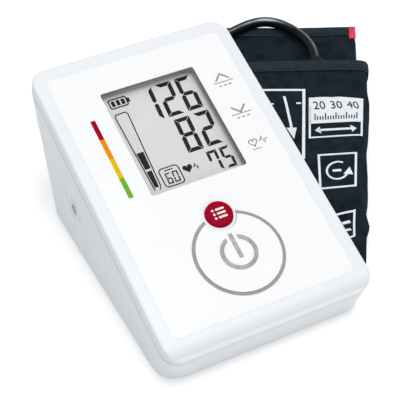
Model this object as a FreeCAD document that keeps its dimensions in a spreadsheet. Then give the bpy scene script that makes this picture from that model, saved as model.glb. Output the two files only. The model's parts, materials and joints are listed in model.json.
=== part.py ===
import FreeCAD, Part
import math
import os
import re

import Sketcher

Vector = FreeCAD.Vector
X_AXIS = Vector(1, 0, 0)
Y_AXIS = Vector(0, 1, 0)
Z_AXIS = Vector(0, 0, 1)

# Driving dimensions of an upper-arm blood pressure monitor, in millimetres and degrees.
# World frame: origin on the table under the middle of the panel, X right, Y back, Z up.
# Panel frame: origin at the middle of the panel's face, Y up the slope, Z out of the face.
DIMENSIONS = [
    ("slope", 18.5),
    ("panel_height", 46.0),
    ("panel_width", 86.0),
    ("panel_length", 134.7),
    ("panel_corner", 3.2),
    ("panel_thick", 1.0),
    ("rim_side", 6.0),
    ("rim_back", 6.6),
    ("rim_front", 8.8),
    ("rim_round", 1.2),
    ("scoop_start", 2.8),
    ("scoop_round", 4.5),
    ("scoop_angle", 58.0),
    ("scoop_drop", 3.4),
    ("scoop_foot", 1.5),
    ("case_corner", 8.0),
    ("cover_depth", 6.2),
    ("cover_wall", 2.2),
    ("seam_chamfer", 0.5),
    ("wall", 2.2),
    ("floor_thick", 2.2),
    ("base_inset", 0.3),
    ("base_front_in", 1.95),
    ("base_back_in", 9.35),
    ("base_corner", 10.0),
    ("heel_radius", 9.0),
    ("heel_lean", 5.0),
    ("fit_gap", 0.2),
    ("slide_gap", 0.05),
    ("window_left_in", 20.1),
    ("window_right_in", 19.6),
    ("window_gap", 18.6),
    ("window_back_in", 14.75),
    ("window_corner", 1.2),
    ("lens_lap", 2.0),
    ("lens_thick", 1.2),
    ("glass_thick", 2.6),
    ("bezel_width", 2.6),
    ("memory_radius", 6.15),
    ("key_pitch", 19.3),
    ("memory_rise", 1.5),
    ("memory_round", 0.6),
    ("memory_travel", 1.0),
    ("start_radius", 18.6),
    ("start_in", 26.05),
    ("start_rise", 0.3),
    ("start_travel", 0.8),
    ("button_web", 1.2),
    ("button_flange", 0.8),
    ("button_lip", 0.9),
    ("ring_radius", 19.5),
    ("ring_line", 1.2),
    ("ring_rise", 0.25),
    ("symbol_radius", 8.2),
    ("symbol_line", 1.75),
    ("symbol_gap", 3.6),
    ("symbol_bar_top", 9.2),
    ("symbol_bar_foot", 2.7),
    ("symbol_rise", 0.3),
    ("stem_radius", 2.2),
    ("switch_side", 6.0),
    ("switch_height", 3.2),
    ("plunger_radius", 1.6),
    ("board_depth", 10.5),
    ("board_thick", 1.6),
    ("board_side_in", 12.6),
    ("board_front_in", 15.35),
    ("board_back_in", 5.35),
    ("board_boss", 3.0),
    ("board_screw", 1.2),
    ("board_screw_in", 2.4),
    ("board_screw_front_in", 22.0),
    ("board_screw_back_in", 5.0),
    ("chip_side", 12.0),
    ("chip_thick", 1.6),
    ("chip_x", 2.0),
    ("chip_y", 12.0),
    ("chip_gap", 4.0),
    ("capacitor_radius", 3.2),
    ("capacitor_height", 6.5),
    ("foot_height", 1.5),
    ("foot_radius", 4.5),
    ("foot_seat", 1.0),
    ("foot_side_in", 9.0),
    ("foot_front_in", 23.4),
    ("foot_back_in", 21.0),
    ("cell_radius", 7.25),
    ("cell_length", 50.5),
    ("cell_gap", 0.6),
    ("bay_back_in", 28.3),
    ("bay_end", 3.6),
    ("bay_wall", 3.6),
    ("bay_roof", 1.4),
    ("door_thick", 2.0),
    ("door_lap", 2.0),
    ("rib_width", 1.2),
    ("rib_length", 18.0),
    ("rib_rise", 0.5),
    ("spring_thick", 0.5),
    ("spring_width", 4.0),
    ("contact_thick", 0.6),
    ("pillar_radius", 4.2),
    ("pillar_shelf", 3.0),
    ("boss_radius", 3.0),
    ("boss_length", 8.0),
    ("boss_sink", 1.1),
    ("pillar_side_in", 8.0),
    ("pillar_front_in", 10.4),
    ("pillar_back_in", 12.0),
    ("screw_radius", 1.45),
    ("screw_head", 2.9),
    ("screw_head_thick", 1.8),
    ("screw_bite", 5.0),
    ("pump_radius", 9.0),
    ("pump_length", 23.0),
    ("pump_gap", 0.8),
    ("pump_z", 20.0),
    ("pump_head_side", 18.6),
    ("pump_head_length", 12.0),
    ("crank_radius", 5.0),
    ("crank_throw", 1.2),
    ("crank_thick", 3.0),
    ("shaft_radius", 1.0),
    ("socket_gap", 1.0),
    ("socket_z", 13.8),
    ("socket_radius", 5.2),
    ("socket_bore", 3.0),
    ("socket_length", 10.0),
    ("manifold_side", 12.0),
    ("manifold_height", 13.0),
    ("valve_side", 12.0),
    ("valve_height", 13.0),
    ("valve_pin", 2.2),
    ("valve_travel", 1.5),
    ("tube_radius", 2.0),
    ("line_out", 5.8),
    ("sensor_side", 9.0),
    ("sensor_height", 4.0),
    ("nipple_length", 4.0),
    ("jack_y", 23.5),
    ("jack_z", 26.0),
    ("jack_ring", 5.7),
    ("jack_bore", 2.8),
    ("jack_pin", 0.95),
    ("jack_length", 11.0),
    ("hose_diameter", 5.2),
    ("plug_grip", 5.4),
    ("plug_nose", 6.0),
    ("plug_length", 17.0),
    ("hose_bore", 1.3),
    ("coil_pitch", 5.7),
    ("coil_radius", 31.0),
    ("coil_gap", 49.84),
    ("coil_lift", 0.75),
    ("tie_thick", 0.6),
    ("tie_width", 7.0),
    ("tie_gap", 0.45),
    ("cuff_x", 103.0),
    ("cuff_y", 87.75),
    ("cuff_turn", 24.9),
    ("sleeve_length", 136.0),
    ("sleeve_skew", 15.4),
    ("sleeve_far_width", 77.0),
    ("sleeve_near_width", 14.0),
    ("sleeve_far_thick", 12.0),
    ("sleeve_near_thick", 9.0),
    ("sleeve_crown", 1.6),
    ("sleeve_skin", 2.6),
    ("flap_thick", 2.4),
    ("flap_reach", 46.7),
    ("flap_left", 36.0),
    ("flap_right", 39.4),
    ("flap_tip", 5.0),
    ("hem_depth", 8.5),
    ("hem_thick", 0.7),
    ("tab_width", 3.4),
    ("tab_depth", 9.5),
    ("tab_thick", 1.0),
    ("port_x", 12.5),
    ("port_radius", 4.2),
    ("port_length", 5.0),
]
# Places that follow from those sizes: each keeps its clearance when the housing grows or shrinks.
RELATIONS = [
    ("case_half", "panel_width / 2 + rim_side"),
    ("base_front", "panel_length / 2 - base_front_in"),
    ("base_back", "panel_length / 2 - base_back_in"),
    ("start_back", "panel_length / 2 - start_in"),
    ("memory_back", "start_back - key_pitch"),
    ("window_left", "panel_width / 2 - window_left_in"),
    ("window_right", "panel_width / 2 - window_right_in"),
    ("window_front", "memory_back - window_gap"),
    ("window_back", "panel_length / 2 - window_back_in"),
    ("board_half", "case_half - board_side_in"),
    ("board_front", "panel_length / 2 - board_front_in"),
    ("board_back", "panel_length / 2 - board_back_in"),
    ("board_screw_x", "board_half - board_screw_in"),
    ("board_screw_front", "board_front - board_screw_front_in"),
    ("board_screw_back", "board_back - board_screw_back_in"),
    ("foot_x", "case_half - foot_side_in"),
    ("foot_front", "base_front - foot_front_in"),
    ("foot_back", "base_back - foot_back_in"),
    ("bay_back", "base_back - bay_back_in"),
    ("bay_front", "cell_length + 2 * bay_end - bay_back"),
    ("pillar_x", "case_half - pillar_side_in"),
    ("pillar_front", "base_front - pillar_front_in"),
    ("pillar_back", "base_back - pillar_back_in"),
    ("pump_right", "pillar_x - pillar_radius - pump_gap - pump_head_length"),
    ("pump_left", "pump_right - pump_length"),
    ("socket_x", "manifold_side / 2 + socket_gap + pillar_radius - pillar_x"),
]
ALIASES = [name for name, _ in DIMENSIONS + RELATIONS]
WORD = re.compile(r"[a-z_]+")

doc = FreeCAD.newDocument("blood_pressure_monitor")
sheet = doc.addObject("Spreadsheet::Sheet", "dims")
for row, (alias, content) in enumerate(DIMENSIONS + RELATIONS, 1):
    sheet.set(f"A{row}", alias)
    sheet.set(f"B{row}", f"={content}" if isinstance(content, str) else str(content))
    sheet.setAlias(f"B{row}", alias)
doc.recompute()


def value(formula):
    """Number that a formula over the sheet's names gives now."""
    return float(sheet.evalExpression(formula))


def tie(thing, prop, formula):
    """Bind a property to a formula over the sheet's names."""
    bound = WORD.sub(lambda m: "dims." + m.group() if m.group() in ALIASES else m.group(), formula)
    thing.setExpression(prop, bound)


# Formulas that several sub-parts share.
CASE_FRONT = "(panel_length / 2 + rim_front)"
CASE_BACK = "(panel_length / 2 + rim_back)"
COVER_UNDER = "(panel_thick + cover_wall)"
FLANGE_TOP = f"({COVER_UNDER} + slide_gap)"
BOARD_UNDER = "(board_depth + board_thick)"
LENS_UNDER = f"({COVER_UNDER} + lens_thick)"
GLASS_UNDER = f"({LENS_UNDER} + fit_gap + glass_thick)"
BAY_HALF = "(4 * cell_radius + 1.5 * cell_gap + cell_gap)"
BAY_ROOF = "(foot_height + door_thick + fit_gap + 2 * cell_radius + cell_gap)"


def panel_to_world(point):
    """World place of a point of the panel frame."""
    turn = FreeCAD.Rotation(X_AXIS, value("slope"))
    return turn.multVec(point) + Vector(0, 0, value("panel_height"))


def in_panel_frame(thing):
    """Tilt a finished sub-part with the panel and lift it to the panel's height."""
    thing.Placement = FreeCAD.Placement(Vector(), FreeCAD.Rotation(X_AXIS, value("slope")))
    tie(thing, "Placement.Base.z", "panel_height")
    tie(thing, "Placement.Rotation.Angle", "slope")
    return thing


def new_body(label, tilted=False):
    body = doc.addObject("PartDesign::Body", label)
    body.Label = label
    return in_panel_frame(body) if tilted else body


def new_sketch(body, role="XY_Plane", lift="0"):
    """Sketch on one of the body's origin planes, moved along its normal by lift."""
    sketch = body.newObject("Sketcher::SketchObject", body.Label + "_sketch")
    plane = next(f for f in body.Origin.OriginFeatures if f.Role == role)
    sketch.AttachmentSupport = [(plane, "")]
    sketch.MapMode = "FlatFace"
    tie(sketch, "AttachmentOffset.Base.z", lift)
    return sketch


def measure(sketch, kind, where, formula):
    """Add a driving constraint to a sketch and bind it."""
    index = sketch.addConstraint(Sketcher.Constraint(kind, *where, value(formula)))
    name = f"size_{index}"
    sketch.renameConstraint(index, name)
    tie(sketch, f"Constraints.{name}", formula)


def place_point(sketch, where, x, y):
    measure(sketch, "DistanceX", (-1, 1) + where, x)
    measure(sketch, "DistanceY", (-1, 1) + where, y)


def circle(sketch, x, y, radius):
    shape = Part.Circle(Vector(value(x), value(y), 0), Z_AXIS, value(radius))
    index = sketch.addGeometry(shape, False)
    measure(sketch, "Radius", (index,), radius)
    place_point(sketch, (index, 3), x, y)


def rounded_outline(sketch, left, right, front, back, corner):
    """Rectangle with rounded corners: sides at x = left, right and y = front, back."""
    x0, x1, y0, y1, r = (value(f) for f in (left, right, front, back, corner))
    corners = [(x1 - r, y0 + r, 270), (x1 - r, y1 - r, 0), (x0 + r, y1 - r, 90), (x0 + r, y0 + r, 180)]
    ends = []
    arcs = []
    for cx, cy, start in corners:
        angles = [math.radians(start), math.radians(start + 90)]
        ring = Part.Circle(Vector(cx, cy, 0), Z_AXIS, r)
        arcs.append(sketch.addGeometry(Part.ArcOfCircle(ring, *angles), False))
        ends.append([Vector(cx + r * math.cos(a), cy + r * math.sin(a), 0) for a in angles])
    lines = []
    for i in range(4):
        line = Part.LineSegment(ends[i - 1][1], ends[i][0])
        lines.append(sketch.addGeometry(line, False))
    for i in range(4):
        sketch.addConstraint(Sketcher.Constraint("Tangent", lines[i], 2, arcs[i], 1))
        sketch.addConstraint(Sketcher.Constraint("Tangent", arcs[i - 1], 2, lines[i], 1))
        sketch.addConstraint(Sketcher.Constraint("Vertical" if i % 2 else "Horizontal", lines[i]))
    for i in range(1, 4):
        sketch.addConstraint(Sketcher.Constraint("Equal", arcs[0], arcs[i]))
    measure(sketch, "Radius", (arcs[0],), corner)
    measure(sketch, "DistanceY", (-1, 1, lines[0], 1), front)
    measure(sketch, "DistanceX", (-1, 1, lines[1], 1), right)
    measure(sketch, "DistanceY", (-1, 1, lines[2], 1), back)
    measure(sketch, "DistanceX", (-1, 1, lines[3], 1), left)


def feature(body, kind, sketch, length=None, reverse=False):
    """Pad or Pocket of a sketch; with no length it goes through all."""
    made = body.newObject("PartDesign::" + kind, f"{body.Label}_{kind.lower()}")
    made.Profile = sketch
    made.Reversed = reverse
    if length is None:
        made.Type = "ThroughAll"
    else:
        tie(made, "Length", length)
    return made


def pad(body, sketch, length, reverse=False):
    return feature(body, "Pad", sketch, length, reverse)


def pocket(body, sketch, length=None, reverse=False):
    return feature(body, "Pocket", sketch, length, reverse)


def dress(body, kind, size, wanted):
    """Fillet or Chamfer the edges of the body's tip that wanted picks."""
    doc.recompute()
    base = body.Tip
    names = [f"Edge{i}" for i, edge in enumerate(base.Shape.Edges, 1) if wanted(edge)]
    made = body.newObject("PartDesign::" + kind, f"{body.Label}_{kind.lower()}")
    made.Base = (base, names)
    tie(made, "Radius" if kind == "Fillet" else "Size", size)
    return made


def at_height(level):
    """Picks edges that lie in the plane z = level of the body's own frame."""
    return lambda edge: max(abs(v.Z - level) for v in edge.Vertexes) < 1e-4


def block(name, size, centre, foot):
    """Box of formulas: size along X, Y and Z, its middle in X and Y, and its lowest Z."""
    box = doc.addObject("Part::Box", name)
    for prop, formula in zip(("Length", "Width", "Height"), size):
        tie(box, prop, formula)
    tie(box, "Placement.Base.x", f"{centre[0]} - ({size[0]}) / 2")
    tie(box, "Placement.Base.y", f"{centre[1]} - ({size[1]}) / 2")
    tie(box, "Placement.Base.z", foot)
    return box


TURNS = {"x": FreeCAD.Rotation(Y_AXIS, 90), "y": FreeCAD.Rotation(X_AXIS, -90), "z": FreeCAD.Rotation()}


def rod(name, radius, length, start, axis="z"):
    """Cylinder of formulas from a start point along +X, +Y or +Z."""
    made = doc.addObject("Part::Cylinder", name)
    tie(made, "Radius", radius)
    tie(made, "Height", length)
    made.Placement = FreeCAD.Placement(Vector(), TURNS[axis])
    for prop, formula in zip("xyz", start):
        tie(made, "Placement.Base." + prop, formula)
    return made


def cone(name, radius, end_radius, length, start, axis):
    made = doc.addObject("Part::Cone", name)
    tie(made, "Radius1", radius)
    tie(made, "Radius2", end_radius)
    tie(made, "Height", length)
    made.Placement = FreeCAD.Placement(Vector(), TURNS[axis])
    for prop, formula in zip("xyz", start):
        tie(made, "Placement.Base." + prop, formula)
    return made


def fuse(name, shapes):
    made = doc.addObject("Part::MultiFuse", name)
    made.Shapes = shapes
    return made


def cut(name, base, tool):
    made = doc.addObject("Part::Cut", name)
    made.Base = base
    made.Tool = tool
    return made


def group(name, shapes):
    """Several separate solids that share one node."""
    made = doc.addObject("Part::Compound", name)
    made.Links = shapes
    return made


def solid(name, shape):
    """Sub-part whose shape is worked out in code from the sheet's numbers."""
    made = doc.addObject("Part::Feature", name)
    made.Shape = shape
    made.Placement = FreeCAD.Placement()
    return made


def arc_run(points, limit=1e9):
    """Edges through points: straight runs joined by tangent arcs, and the arcs' radii."""
    edges = []
    radii = []
    here = points[0]
    for before, corner, after in zip(points, points[1:], points[2:]):
        back = (before - corner).normalize()
        ahead = (after - corner).normalize()
        half = back.getAngle(ahead) / 2
        reach = 0.45 * min((before - corner).Length, (after - corner).Length)
        radius = min(reach * math.tan(half), limit)
        reach = radius / math.tan(half)
        middle = (back + ahead).normalize()
        inside = corner + middle * (radius / math.sin(half) - radius)
        edges.append(Part.makeLine(here, corner + back * reach))
        here = corner + ahead * reach
        edges.append(Part.Arc(corner + back * reach, inside, here).toShape())
        radii.append(radius)
    edges.append(Part.makeLine(here, points[-1]))
    return edges, radii


def tube(path_edges, radius):
    """Round tube along tangent lines and arcs, square at both ends."""
    first = path_edges[0]
    ring = Part.makeCircle(radius, first.valueAt(first.FirstParameter), first.tangentAt(first.FirstParameter))
    faces = [Part.Face(Part.Wire(ring))]
    for edge in path_edges:
        if edge.Curve.TypeId == "Part::GeomLine":
            step = edge.valueAt(edge.LastParameter) - edge.valueAt(edge.FirstParameter)
            faces.append(ring.extrude(step))
            ring = ring.translated(step)
        else:
            turn = math.degrees(edge.LastParameter - edge.FirstParameter)
            pivot = (edge.Curve.Center, edge.Curve.Axis, turn)
            faces.append(ring.revolve(*pivot))
            ring = ring.rotated(*pivot)
    faces.append(Part.Face(Part.Wire(ring)))
    shell = Part.makeShell(faces)
    shell.sewShape()
    made = Part.Solid(shell)
    if made.Volume < 0:
        made.reverse()
    return made


# Housing

BITE = "(memory_radius + fit_gap + button_web)"


def bitten_disc(sketch, radius, bite):
    """Disc about the start button's centre with a round bite about the memory button's centre."""
    far = value(radius)
    near = value(bite)
    gap = value("start_back - memory_back")
    rise = (far ** 2 - near ** 2 + gap ** 2) / (2 * gap)
    side = math.sqrt(far ** 2 - rise ** 2)
    big_angle = math.atan2(rise, side)
    bite_angle = math.atan2(rise - gap, side)
    rows = [("-start_back", radius, big_angle), ("-memory_back", bite, bite_angle)]
    arcs = []
    for centre, size, angle in rows:
        ring = Part.Circle(Vector(0, value(centre), 0), Z_AXIS, value(size))
        arc = Part.ArcOfCircle(ring, math.pi - angle, 2 * math.pi + angle)
        arcs.append(sketch.addGeometry(arc, False))
    for end in (1, 2):
        sketch.addConstraint(Sketcher.Constraint("Coincident", arcs[0], end, arcs[1], end))
    for arc, (centre, size, _) in zip(arcs, rows):
        measure(sketch, "Radius", (arc,), size)
        place_point(sketch, (arc, 3), "0", centre)


def key_holes(body):
    """Openings for both buttons, through a plate of the panel frame."""
    for draw in (
        lambda s: circle(s, "0", "-memory_back", "memory_radius + fit_gap"),
        lambda s: bitten_disc(s, "start_radius + fit_gap", BITE),
        lambda s: rounded_outline(
            s, "-window_left", "window_right", "-window_front", "window_back", "window_corner"
        ),
    ):
        sketch = new_sketch(body)
        draw(sketch)
        pocket(body, sketch)


def board_screw_circles(sketch, radius):
    for x in ("-board_screw_x", "board_screw_x"):
        for y in ("-board_screw_front", "board_screw_back"):
            circle(sketch, x, y, radius)


PILLAR_PLACES = ("-pillar_front", "pillar_back")


def pillar_top(place):
    """Height at which a case pillar meets the cover's screw boss."""
    return f"(panel_height + {place} * tan(slope) - {COVER_UNDER} / cos(slope) - boss_length)"


def scoop_front(body):
    """Hollow the cover's front edge: a round shoulder, a leaning face and a narrow ledge at its foot."""
    lean = math.radians(value("scoop_angle"))
    start = -value("panel_length / 2 + scoop_start")
    shoulder = value("scoop_round")
    foot = value("scoop_foot")
    ledge = -value("scoop_drop")

    def on_shoulder(angle):
        return Vector(start - shoulder * math.sin(angle), shoulder * math.cos(angle) - shoulder, 0)

    bend = on_shoulder(lean)
    toe = Vector(0, ledge + foot - foot * math.cos(lean), 0)
    toe.x = bend.x - (bend.y - toe.y) / math.tan(lean)
    centre = Vector(toe.x - foot * math.sin(lean), ledge + foot, 0)
    flat = Vector(centre.x, ledge, 0)
    middle = centre + Vector(foot * math.sin(lean / 2), -foot * math.cos(lean / 2), 0)
    out = -value(f"{CASE_FRONT} + case_corner")
    above = value("case_corner")
    sketch = new_sketch(body, "YZ_Plane")
    top = on_shoulder(0.0)
    points = [flat, Vector(out, ledge, 0), Vector(out, above, 0), Vector(top.x, above, 0), top]
    for first, last in zip(points, points[1:]):
        sketch.addGeometry(Part.LineSegment(first, last), False)
    sketch.addGeometry(Part.Arc(top, on_shoulder(lean / 2), bend), False)
    sketch.addGeometry(Part.LineSegment(bend, toe), False)
    sketch.addGeometry(Part.Arc(toe, middle, flat), False)
    cutter = pocket(body, sketch)
    cutter.Midplane = True
    return cutter


def on_outer_wall(edge):
    """Picks edges between the cover's outer wall and what lies inside and above it."""
    half, front, back, corner = (value(f) for f in ("case_half", CASE_FRONT, CASE_BACK, "case_corner"))
    low = -value("scoop_drop") - 1e-3
    for point in edge.discretize(5):
        if point.z < low:
            return False
        side = half - corner - abs(point.x)
        end = (back - corner - point.y) if point.y > 0 else (front - corner + point.y)
        if side < 0 and end < 0:
            depth = corner - math.hypot(side, end)
        else:
            depth = min(side, end) + corner
        if abs(depth) > 1e-3:
            return False
    return abs(edge.tangentAt(edge.FirstParameter).z) < 0.999


def make_top_cover():
    body = new_body("top_cover", tilted=True)
    outline = new_sketch(body, lift="-cover_depth")
    rounded_outline(outline, "-case_half", "case_half", "-" + CASE_FRONT, CASE_BACK, "case_corner")
    pad(body, outline, "cover_depth")
    scoop_front(body)
    dress(body, "Fillet", "rim_round", on_outer_wall)
    dress(body, "Chamfer", "seam_chamfer", at_height(-value("cover_depth")))
    hollow = new_sketch(body, lift="-cover_depth")
    inner = ("wall - case_half", "case_half - wall", f"wall - {CASE_FRONT}", f"{CASE_BACK} - wall")
    rounded_outline(hollow, *inner, "case_corner - wall")
    pocket(body, hollow, f"cover_depth - {COVER_UNDER}", reverse=True)
    recess = new_sketch(body)
    half_x, half_y = (f"({full} / 2 + slide_gap)" for full in ("panel_width", "panel_length"))
    rounded_outline(recess, "-" + half_x, half_x, "-" + half_y, half_y, "panel_corner + slide_gap")
    pocket(body, recess, "panel_thick")
    key_holes(body)
    bosses = new_sketch(body, lift="-board_depth")
    board_screw_circles(bosses, "board_boss")
    pad(body, bosses, f"board_depth - {COVER_UNDER}")
    holes = new_sketch(body, lift="-board_depth")
    board_screw_circles(holes, "board_screw + slide_gap")
    pocket(body, holes, f"board_depth - {COVER_UNDER}", reverse=True)
    for place in PILLAR_PLACES:
        drop = f"({pillar_top(place)} - panel_height)"
        for kind, radius, length in (
            ("Pad", "boss_radius", "boss_length + boss_sink"),
            ("Pocket", "screw_radius + slide_gap", "screw_bite + boss_sink"),
        ):
            sketch = new_sketch(body)
            sketch.AttachmentOffset = FreeCAD.Placement(Vector(), FreeCAD.Rotation(X_AXIS, -value("slope")))
            tie(sketch, "AttachmentOffset.Rotation.Angle", "-slope")
            tie(sketch, "AttachmentOffset.Base.y", f"{drop} * sin(slope)")
            tie(sketch, "AttachmentOffset.Base.z", f"{drop} * cos(slope)")
            for x in ("-pillar_x", "pillar_x"):
                circle(sketch, x, place, radius)
            feature(body, kind, sketch, length, reverse=kind == "Pocket")
    return body


def case_section(body, level, inset, back_inset, corner_trim):
    """Flat outline of the lower case: the base or, with no level, the slanting seam."""
    sketch = new_sketch(body)
    if level is None:
        sketch.AttachmentOffset = FreeCAD.Placement(Vector(), FreeCAD.Rotation(X_AXIS, value("slope")))
        tie(sketch, "AttachmentOffset.Rotation.Angle", "slope")
        tie(sketch, "AttachmentOffset.Base.y", "cover_depth * sin(slope)")
        tie(sketch, "AttachmentOffset.Base.z", "panel_height - cover_depth * cos(slope)")
        half, front, back, corner = "case_half", CASE_FRONT, CASE_BACK, "case_corner"
    else:
        tie(sketch, "AttachmentOffset.Base.z", level)
        half, front, back, corner = "(case_half - base_inset)", "base_front", "base_back", "base_corner"
    rounded_outline(
        sketch,
        f"{inset} - {half}",
        f"{half} - ({inset})",
        f"{inset} - {front}",
        f"{back} - ({back_inset})",
        f"{corner} - {corner_trim}",
    )
    return sketch


def loft(body, kind, low, high):
    made = body.newObject("PartDesign::" + kind, f"{body.Label}_{kind.lower()}")
    made.Profile = low
    made.Sections = [high]
    made.Ruled = True
    return made


SEAM_BACK_Z = f"(panel_height - cover_depth * cos(slope) + {CASE_BACK} * sin(slope))"
SEAM_BACK_Y = f"({CASE_BACK} * cos(slope) + cover_depth * sin(slope))"


def rear_wall_y(height):
    """Where the leaning rear wall's outer face is, at a height."""
    share = f"(({height}) - foot_height) / ({SEAM_BACK_Z} - foot_height)"
    return f"(base_back + ({SEAM_BACK_Y} - base_back) * {share})"


def round_heel(body):
    """Round the long edge between the base and the leaning rear wall."""
    lean = math.atan2(value(SEAM_BACK_Y) - value("base_back"), value(SEAM_BACK_Z) - value("foot_height"))
    radius = value("heel_radius")
    low = value("foot_height")
    edge = value("base_back")
    reach = radius / math.tan((math.pi / 2 + lean) / 2)
    toe = Vector(edge - reach, low, 0)
    heel = Vector(edge + reach * math.sin(lean), low + reach * math.cos(lean), 0)
    centre = Vector(edge - reach, low + radius, 0)
    middle = (toe + heel) * 0.5 - centre
    middle = centre + middle.normalize() * radius
    sketch = new_sketch(body, "YZ_Plane")
    corner = Vector(edge + radius, low - radius, 0)
    points = [heel, Vector(corner.x, heel.y, 0), corner, Vector(toe.x, corner.y, 0), toe]
    for start, end in zip(points, points[1:]):
        sketch.addGeometry(Part.LineSegment(start, end), False)
    sketch.addGeometry(Part.Arc(toe, middle, heel), False)
    for i in range(4):
        sketch.addConstraint(Sketcher.Constraint("Coincident", i, 2, (i + 1) % 5, 1))
    cutter = pocket(body, sketch)
    cutter.Midplane = True
    return cutter


FLOOR_TOP = "(foot_height + floor_thick)"
DOOR_HALF = f"({BAY_HALF} + door_lap)"
DOOR_FRONT = "(bay_front + door_lap)"
DOOR_BACK = "(bay_back + door_lap)"
SOCKET_WALL = rear_wall_y("socket_z")
SOCKET_MOUTH = f"({rear_wall_y('socket_z + plug_grip')} + fit_gap)"
SOCKET_INNER = f"({SOCKET_WALL} - socket_length)"
JACK_FACE = "(case_half - base_inset / 2 + fit_gap)"


def foot_circles(sketch):
    for x in ("-foot_x", "foot_x"):
        for y in ("-foot_front", "foot_back"):
            circle(sketch, x, y, "foot_radius")


def pillar_circles(body, place, radius, level="foot_height"):
    sketch = new_sketch(body, lift=level)
    for x in ("-pillar_x", "pillar_x"):
        circle(sketch, x, place, radius)
    return sketch


def make_bottom_case():
    body = new_body("bottom_case")
    low = case_section(body, "foot_height", "0", "0", "0")
    high = case_section(body, None, "0", "0", "0")
    loft(body, "AdditiveLoft", low, high)
    round_heel(body)
    inner_low = case_section(body, FLOOR_TOP, "wall", "wall + heel_lean", "wall")
    inner_high = case_section(body, None, "wall", "wall", "wall")
    loft(body, "SubtractiveLoft", inner_low, inner_high)
    tub = new_sketch(body, lift="foot_height")
    side, front, back = (f"({edge} + bay_wall)" for edge in (BAY_HALF, "bay_front", "bay_back"))
    rounded_outline(tub, "-" + side, side, "-" + front, back, "door_lap")
    pad(body, tub, f"{BAY_ROOF} + bay_roof - foot_height")
    for place in PILLAR_PLACES:
        top = f"{pillar_top(place)} - foot_height"
        pad(body, pillar_circles(body, place, "pillar_radius"), top)
        bore = pillar_circles(body, place, "screw_head + fit_gap")
        pocket(body, bore, f"{top} - pillar_shelf", reverse=True)
        pocket(body, pillar_circles(body, place, "screw_radius + slide_gap"), top, reverse=True)
    bay = new_sketch(body, lift="foot_height")
    rounded_outline(bay, "-" + BAY_HALF, BAY_HALF, "-bay_front", "bay_back", "cell_gap")
    pocket(body, bay, f"{BAY_ROOF} - foot_height", reverse=True)
    seat = new_sketch(body, lift="foot_height")
    side, front, back = (f"({edge} + fit_gap)" for edge in (DOOR_HALF, DOOR_FRONT, DOOR_BACK))
    rounded_outline(seat, "-" + side, side, "-" + front, back, "fit_gap")
    pocket(body, seat, "door_thick + fit_gap", reverse=True)
    feet = new_sketch(body, lift="foot_height")
    foot_circles(feet)
    pocket(body, feet, "foot_seat", reverse=True)
    jack = new_sketch(body, "YZ_Plane", "-case_half")
    circle(jack, "jack_y", "jack_z", "jack_ring + slide_gap")
    pocket(body, jack, "jack_length", reverse=True)
    socket = new_sketch(body, "XZ_Plane", f"-{SEAM_BACK_Y}")
    circle(socket, "socket_x", "socket_z", "socket_radius + slide_gap")
    pocket(body, socket, f"{SEAM_BACK_Y} - {SOCKET_INNER}", reverse=True)
    return body


def make_rubber_feet():
    body_group = []
    for x in ("-foot_x", "foot_x"):
        for y in ("-foot_front", "foot_back"):
            height = "foot_height + foot_seat"
            body_group.append(rod("foot", "foot_radius - slide_gap", height, (x, y, "0")))
    return group("rubber_feet", body_group)


def make_case_screws():
    screws = []
    for place in PILLAR_PLACES:
        seat = f"({pillar_top(place)} - pillar_shelf)"
        for x in ("-pillar_x", "pillar_x"):
            foot = f"{seat} - screw_head_thick"
            head = rod("screw_cap", "screw_head", "screw_head_thick", (x, place, foot))
            length = "pillar_shelf + screw_bite"
            shank = rod("screw_shank", "screw_radius", length, (x, place, seat))
            screws.append(fuse("case_screw", [head, shank]))
    return group("case_screws", screws)


def make_battery_cover():
    depth = f"{DOOR_FRONT} + {DOOR_BACK} - door_thick / 2"
    hinge_y = f"({DOOR_BACK} - door_thick / 2)"
    plate = block("door_plate", (f"2 * {DOOR_HALF}", depth, "door_thick"),
                  ("0", f"({hinge_y} - {DOOR_FRONT}) / 2"), "foot_height")
    edge = rod("door_edge", "door_thick / 2", f"2 * {DOOR_HALF}",
               (f"-{DOOR_HALF}", hinge_y, "foot_height + door_thick / 2"), "x")
    ribs = []
    for index in range(4):
        place = f"({2 * index + 3} * rib_width - {DOOR_FRONT})"
        ribs.append(block("door_rib", ("rib_length", "rib_width", "rib_rise"),
                          ("0", place), "foot_height - rib_rise"))
    return fuse("battery_cover", [plate, edge] + ribs)


def cell_x(index):
    return f"({index - 1.5} * (2 * cell_radius + cell_gap))"


CELL_Z = "(foot_height + door_thick + fit_gap + cell_gap / 2 + cell_radius)"
CELL_NUB = "bay_end / 4"


def make_battery_cells():
    cells = []
    for index in range(4):
        flipped = index % 2
        can_start = f"bay_end - bay_front + {flipped} * {CELL_NUB}"
        nub_start = f"bay_end - bay_front + {1 - flipped} * (cell_length - {CELL_NUB})"
        can = rod("cell_can", "cell_radius", f"cell_length - {CELL_NUB}",
                  (cell_x(index), can_start, CELL_Z), "y")
        nub = rod("cell_nub", "cell_radius / 3", CELL_NUB, (cell_x(index), nub_start, CELL_Z), "y")
        cells.append(fuse("cell", [can, nub]))
    return group("battery_cells", cells)


def make_battery_contacts():
    plates = []
    side = "1.5 * cell_radius"
    stud = "bay_end - contact_thick"
    for index in range(4):
        plus_at_back = not index % 2
        for at_back in (False, True):
            wall_y = "(bay_back - contact_thick)" if at_back else "(-bay_front)"
            plate = block("contact_plate", (side, "contact_thick", side),
                          (cell_x(index), f"{wall_y} + contact_thick / 2"), f"{CELL_Z} - ({side}) / 2")
            if plus_at_back == at_back:
                start = f"{wall_y} - ({stud})" if at_back else f"{wall_y} + contact_thick"
                bump = rod("contact_bump", "cell_radius / 3", stud, (cell_x(index), start, CELL_Z), "y")
                plate = fuse("contact", [plate, bump])
            plates.append(plate)
    return group("battery_contacts", plates)


# Display, board and buttons


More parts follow.
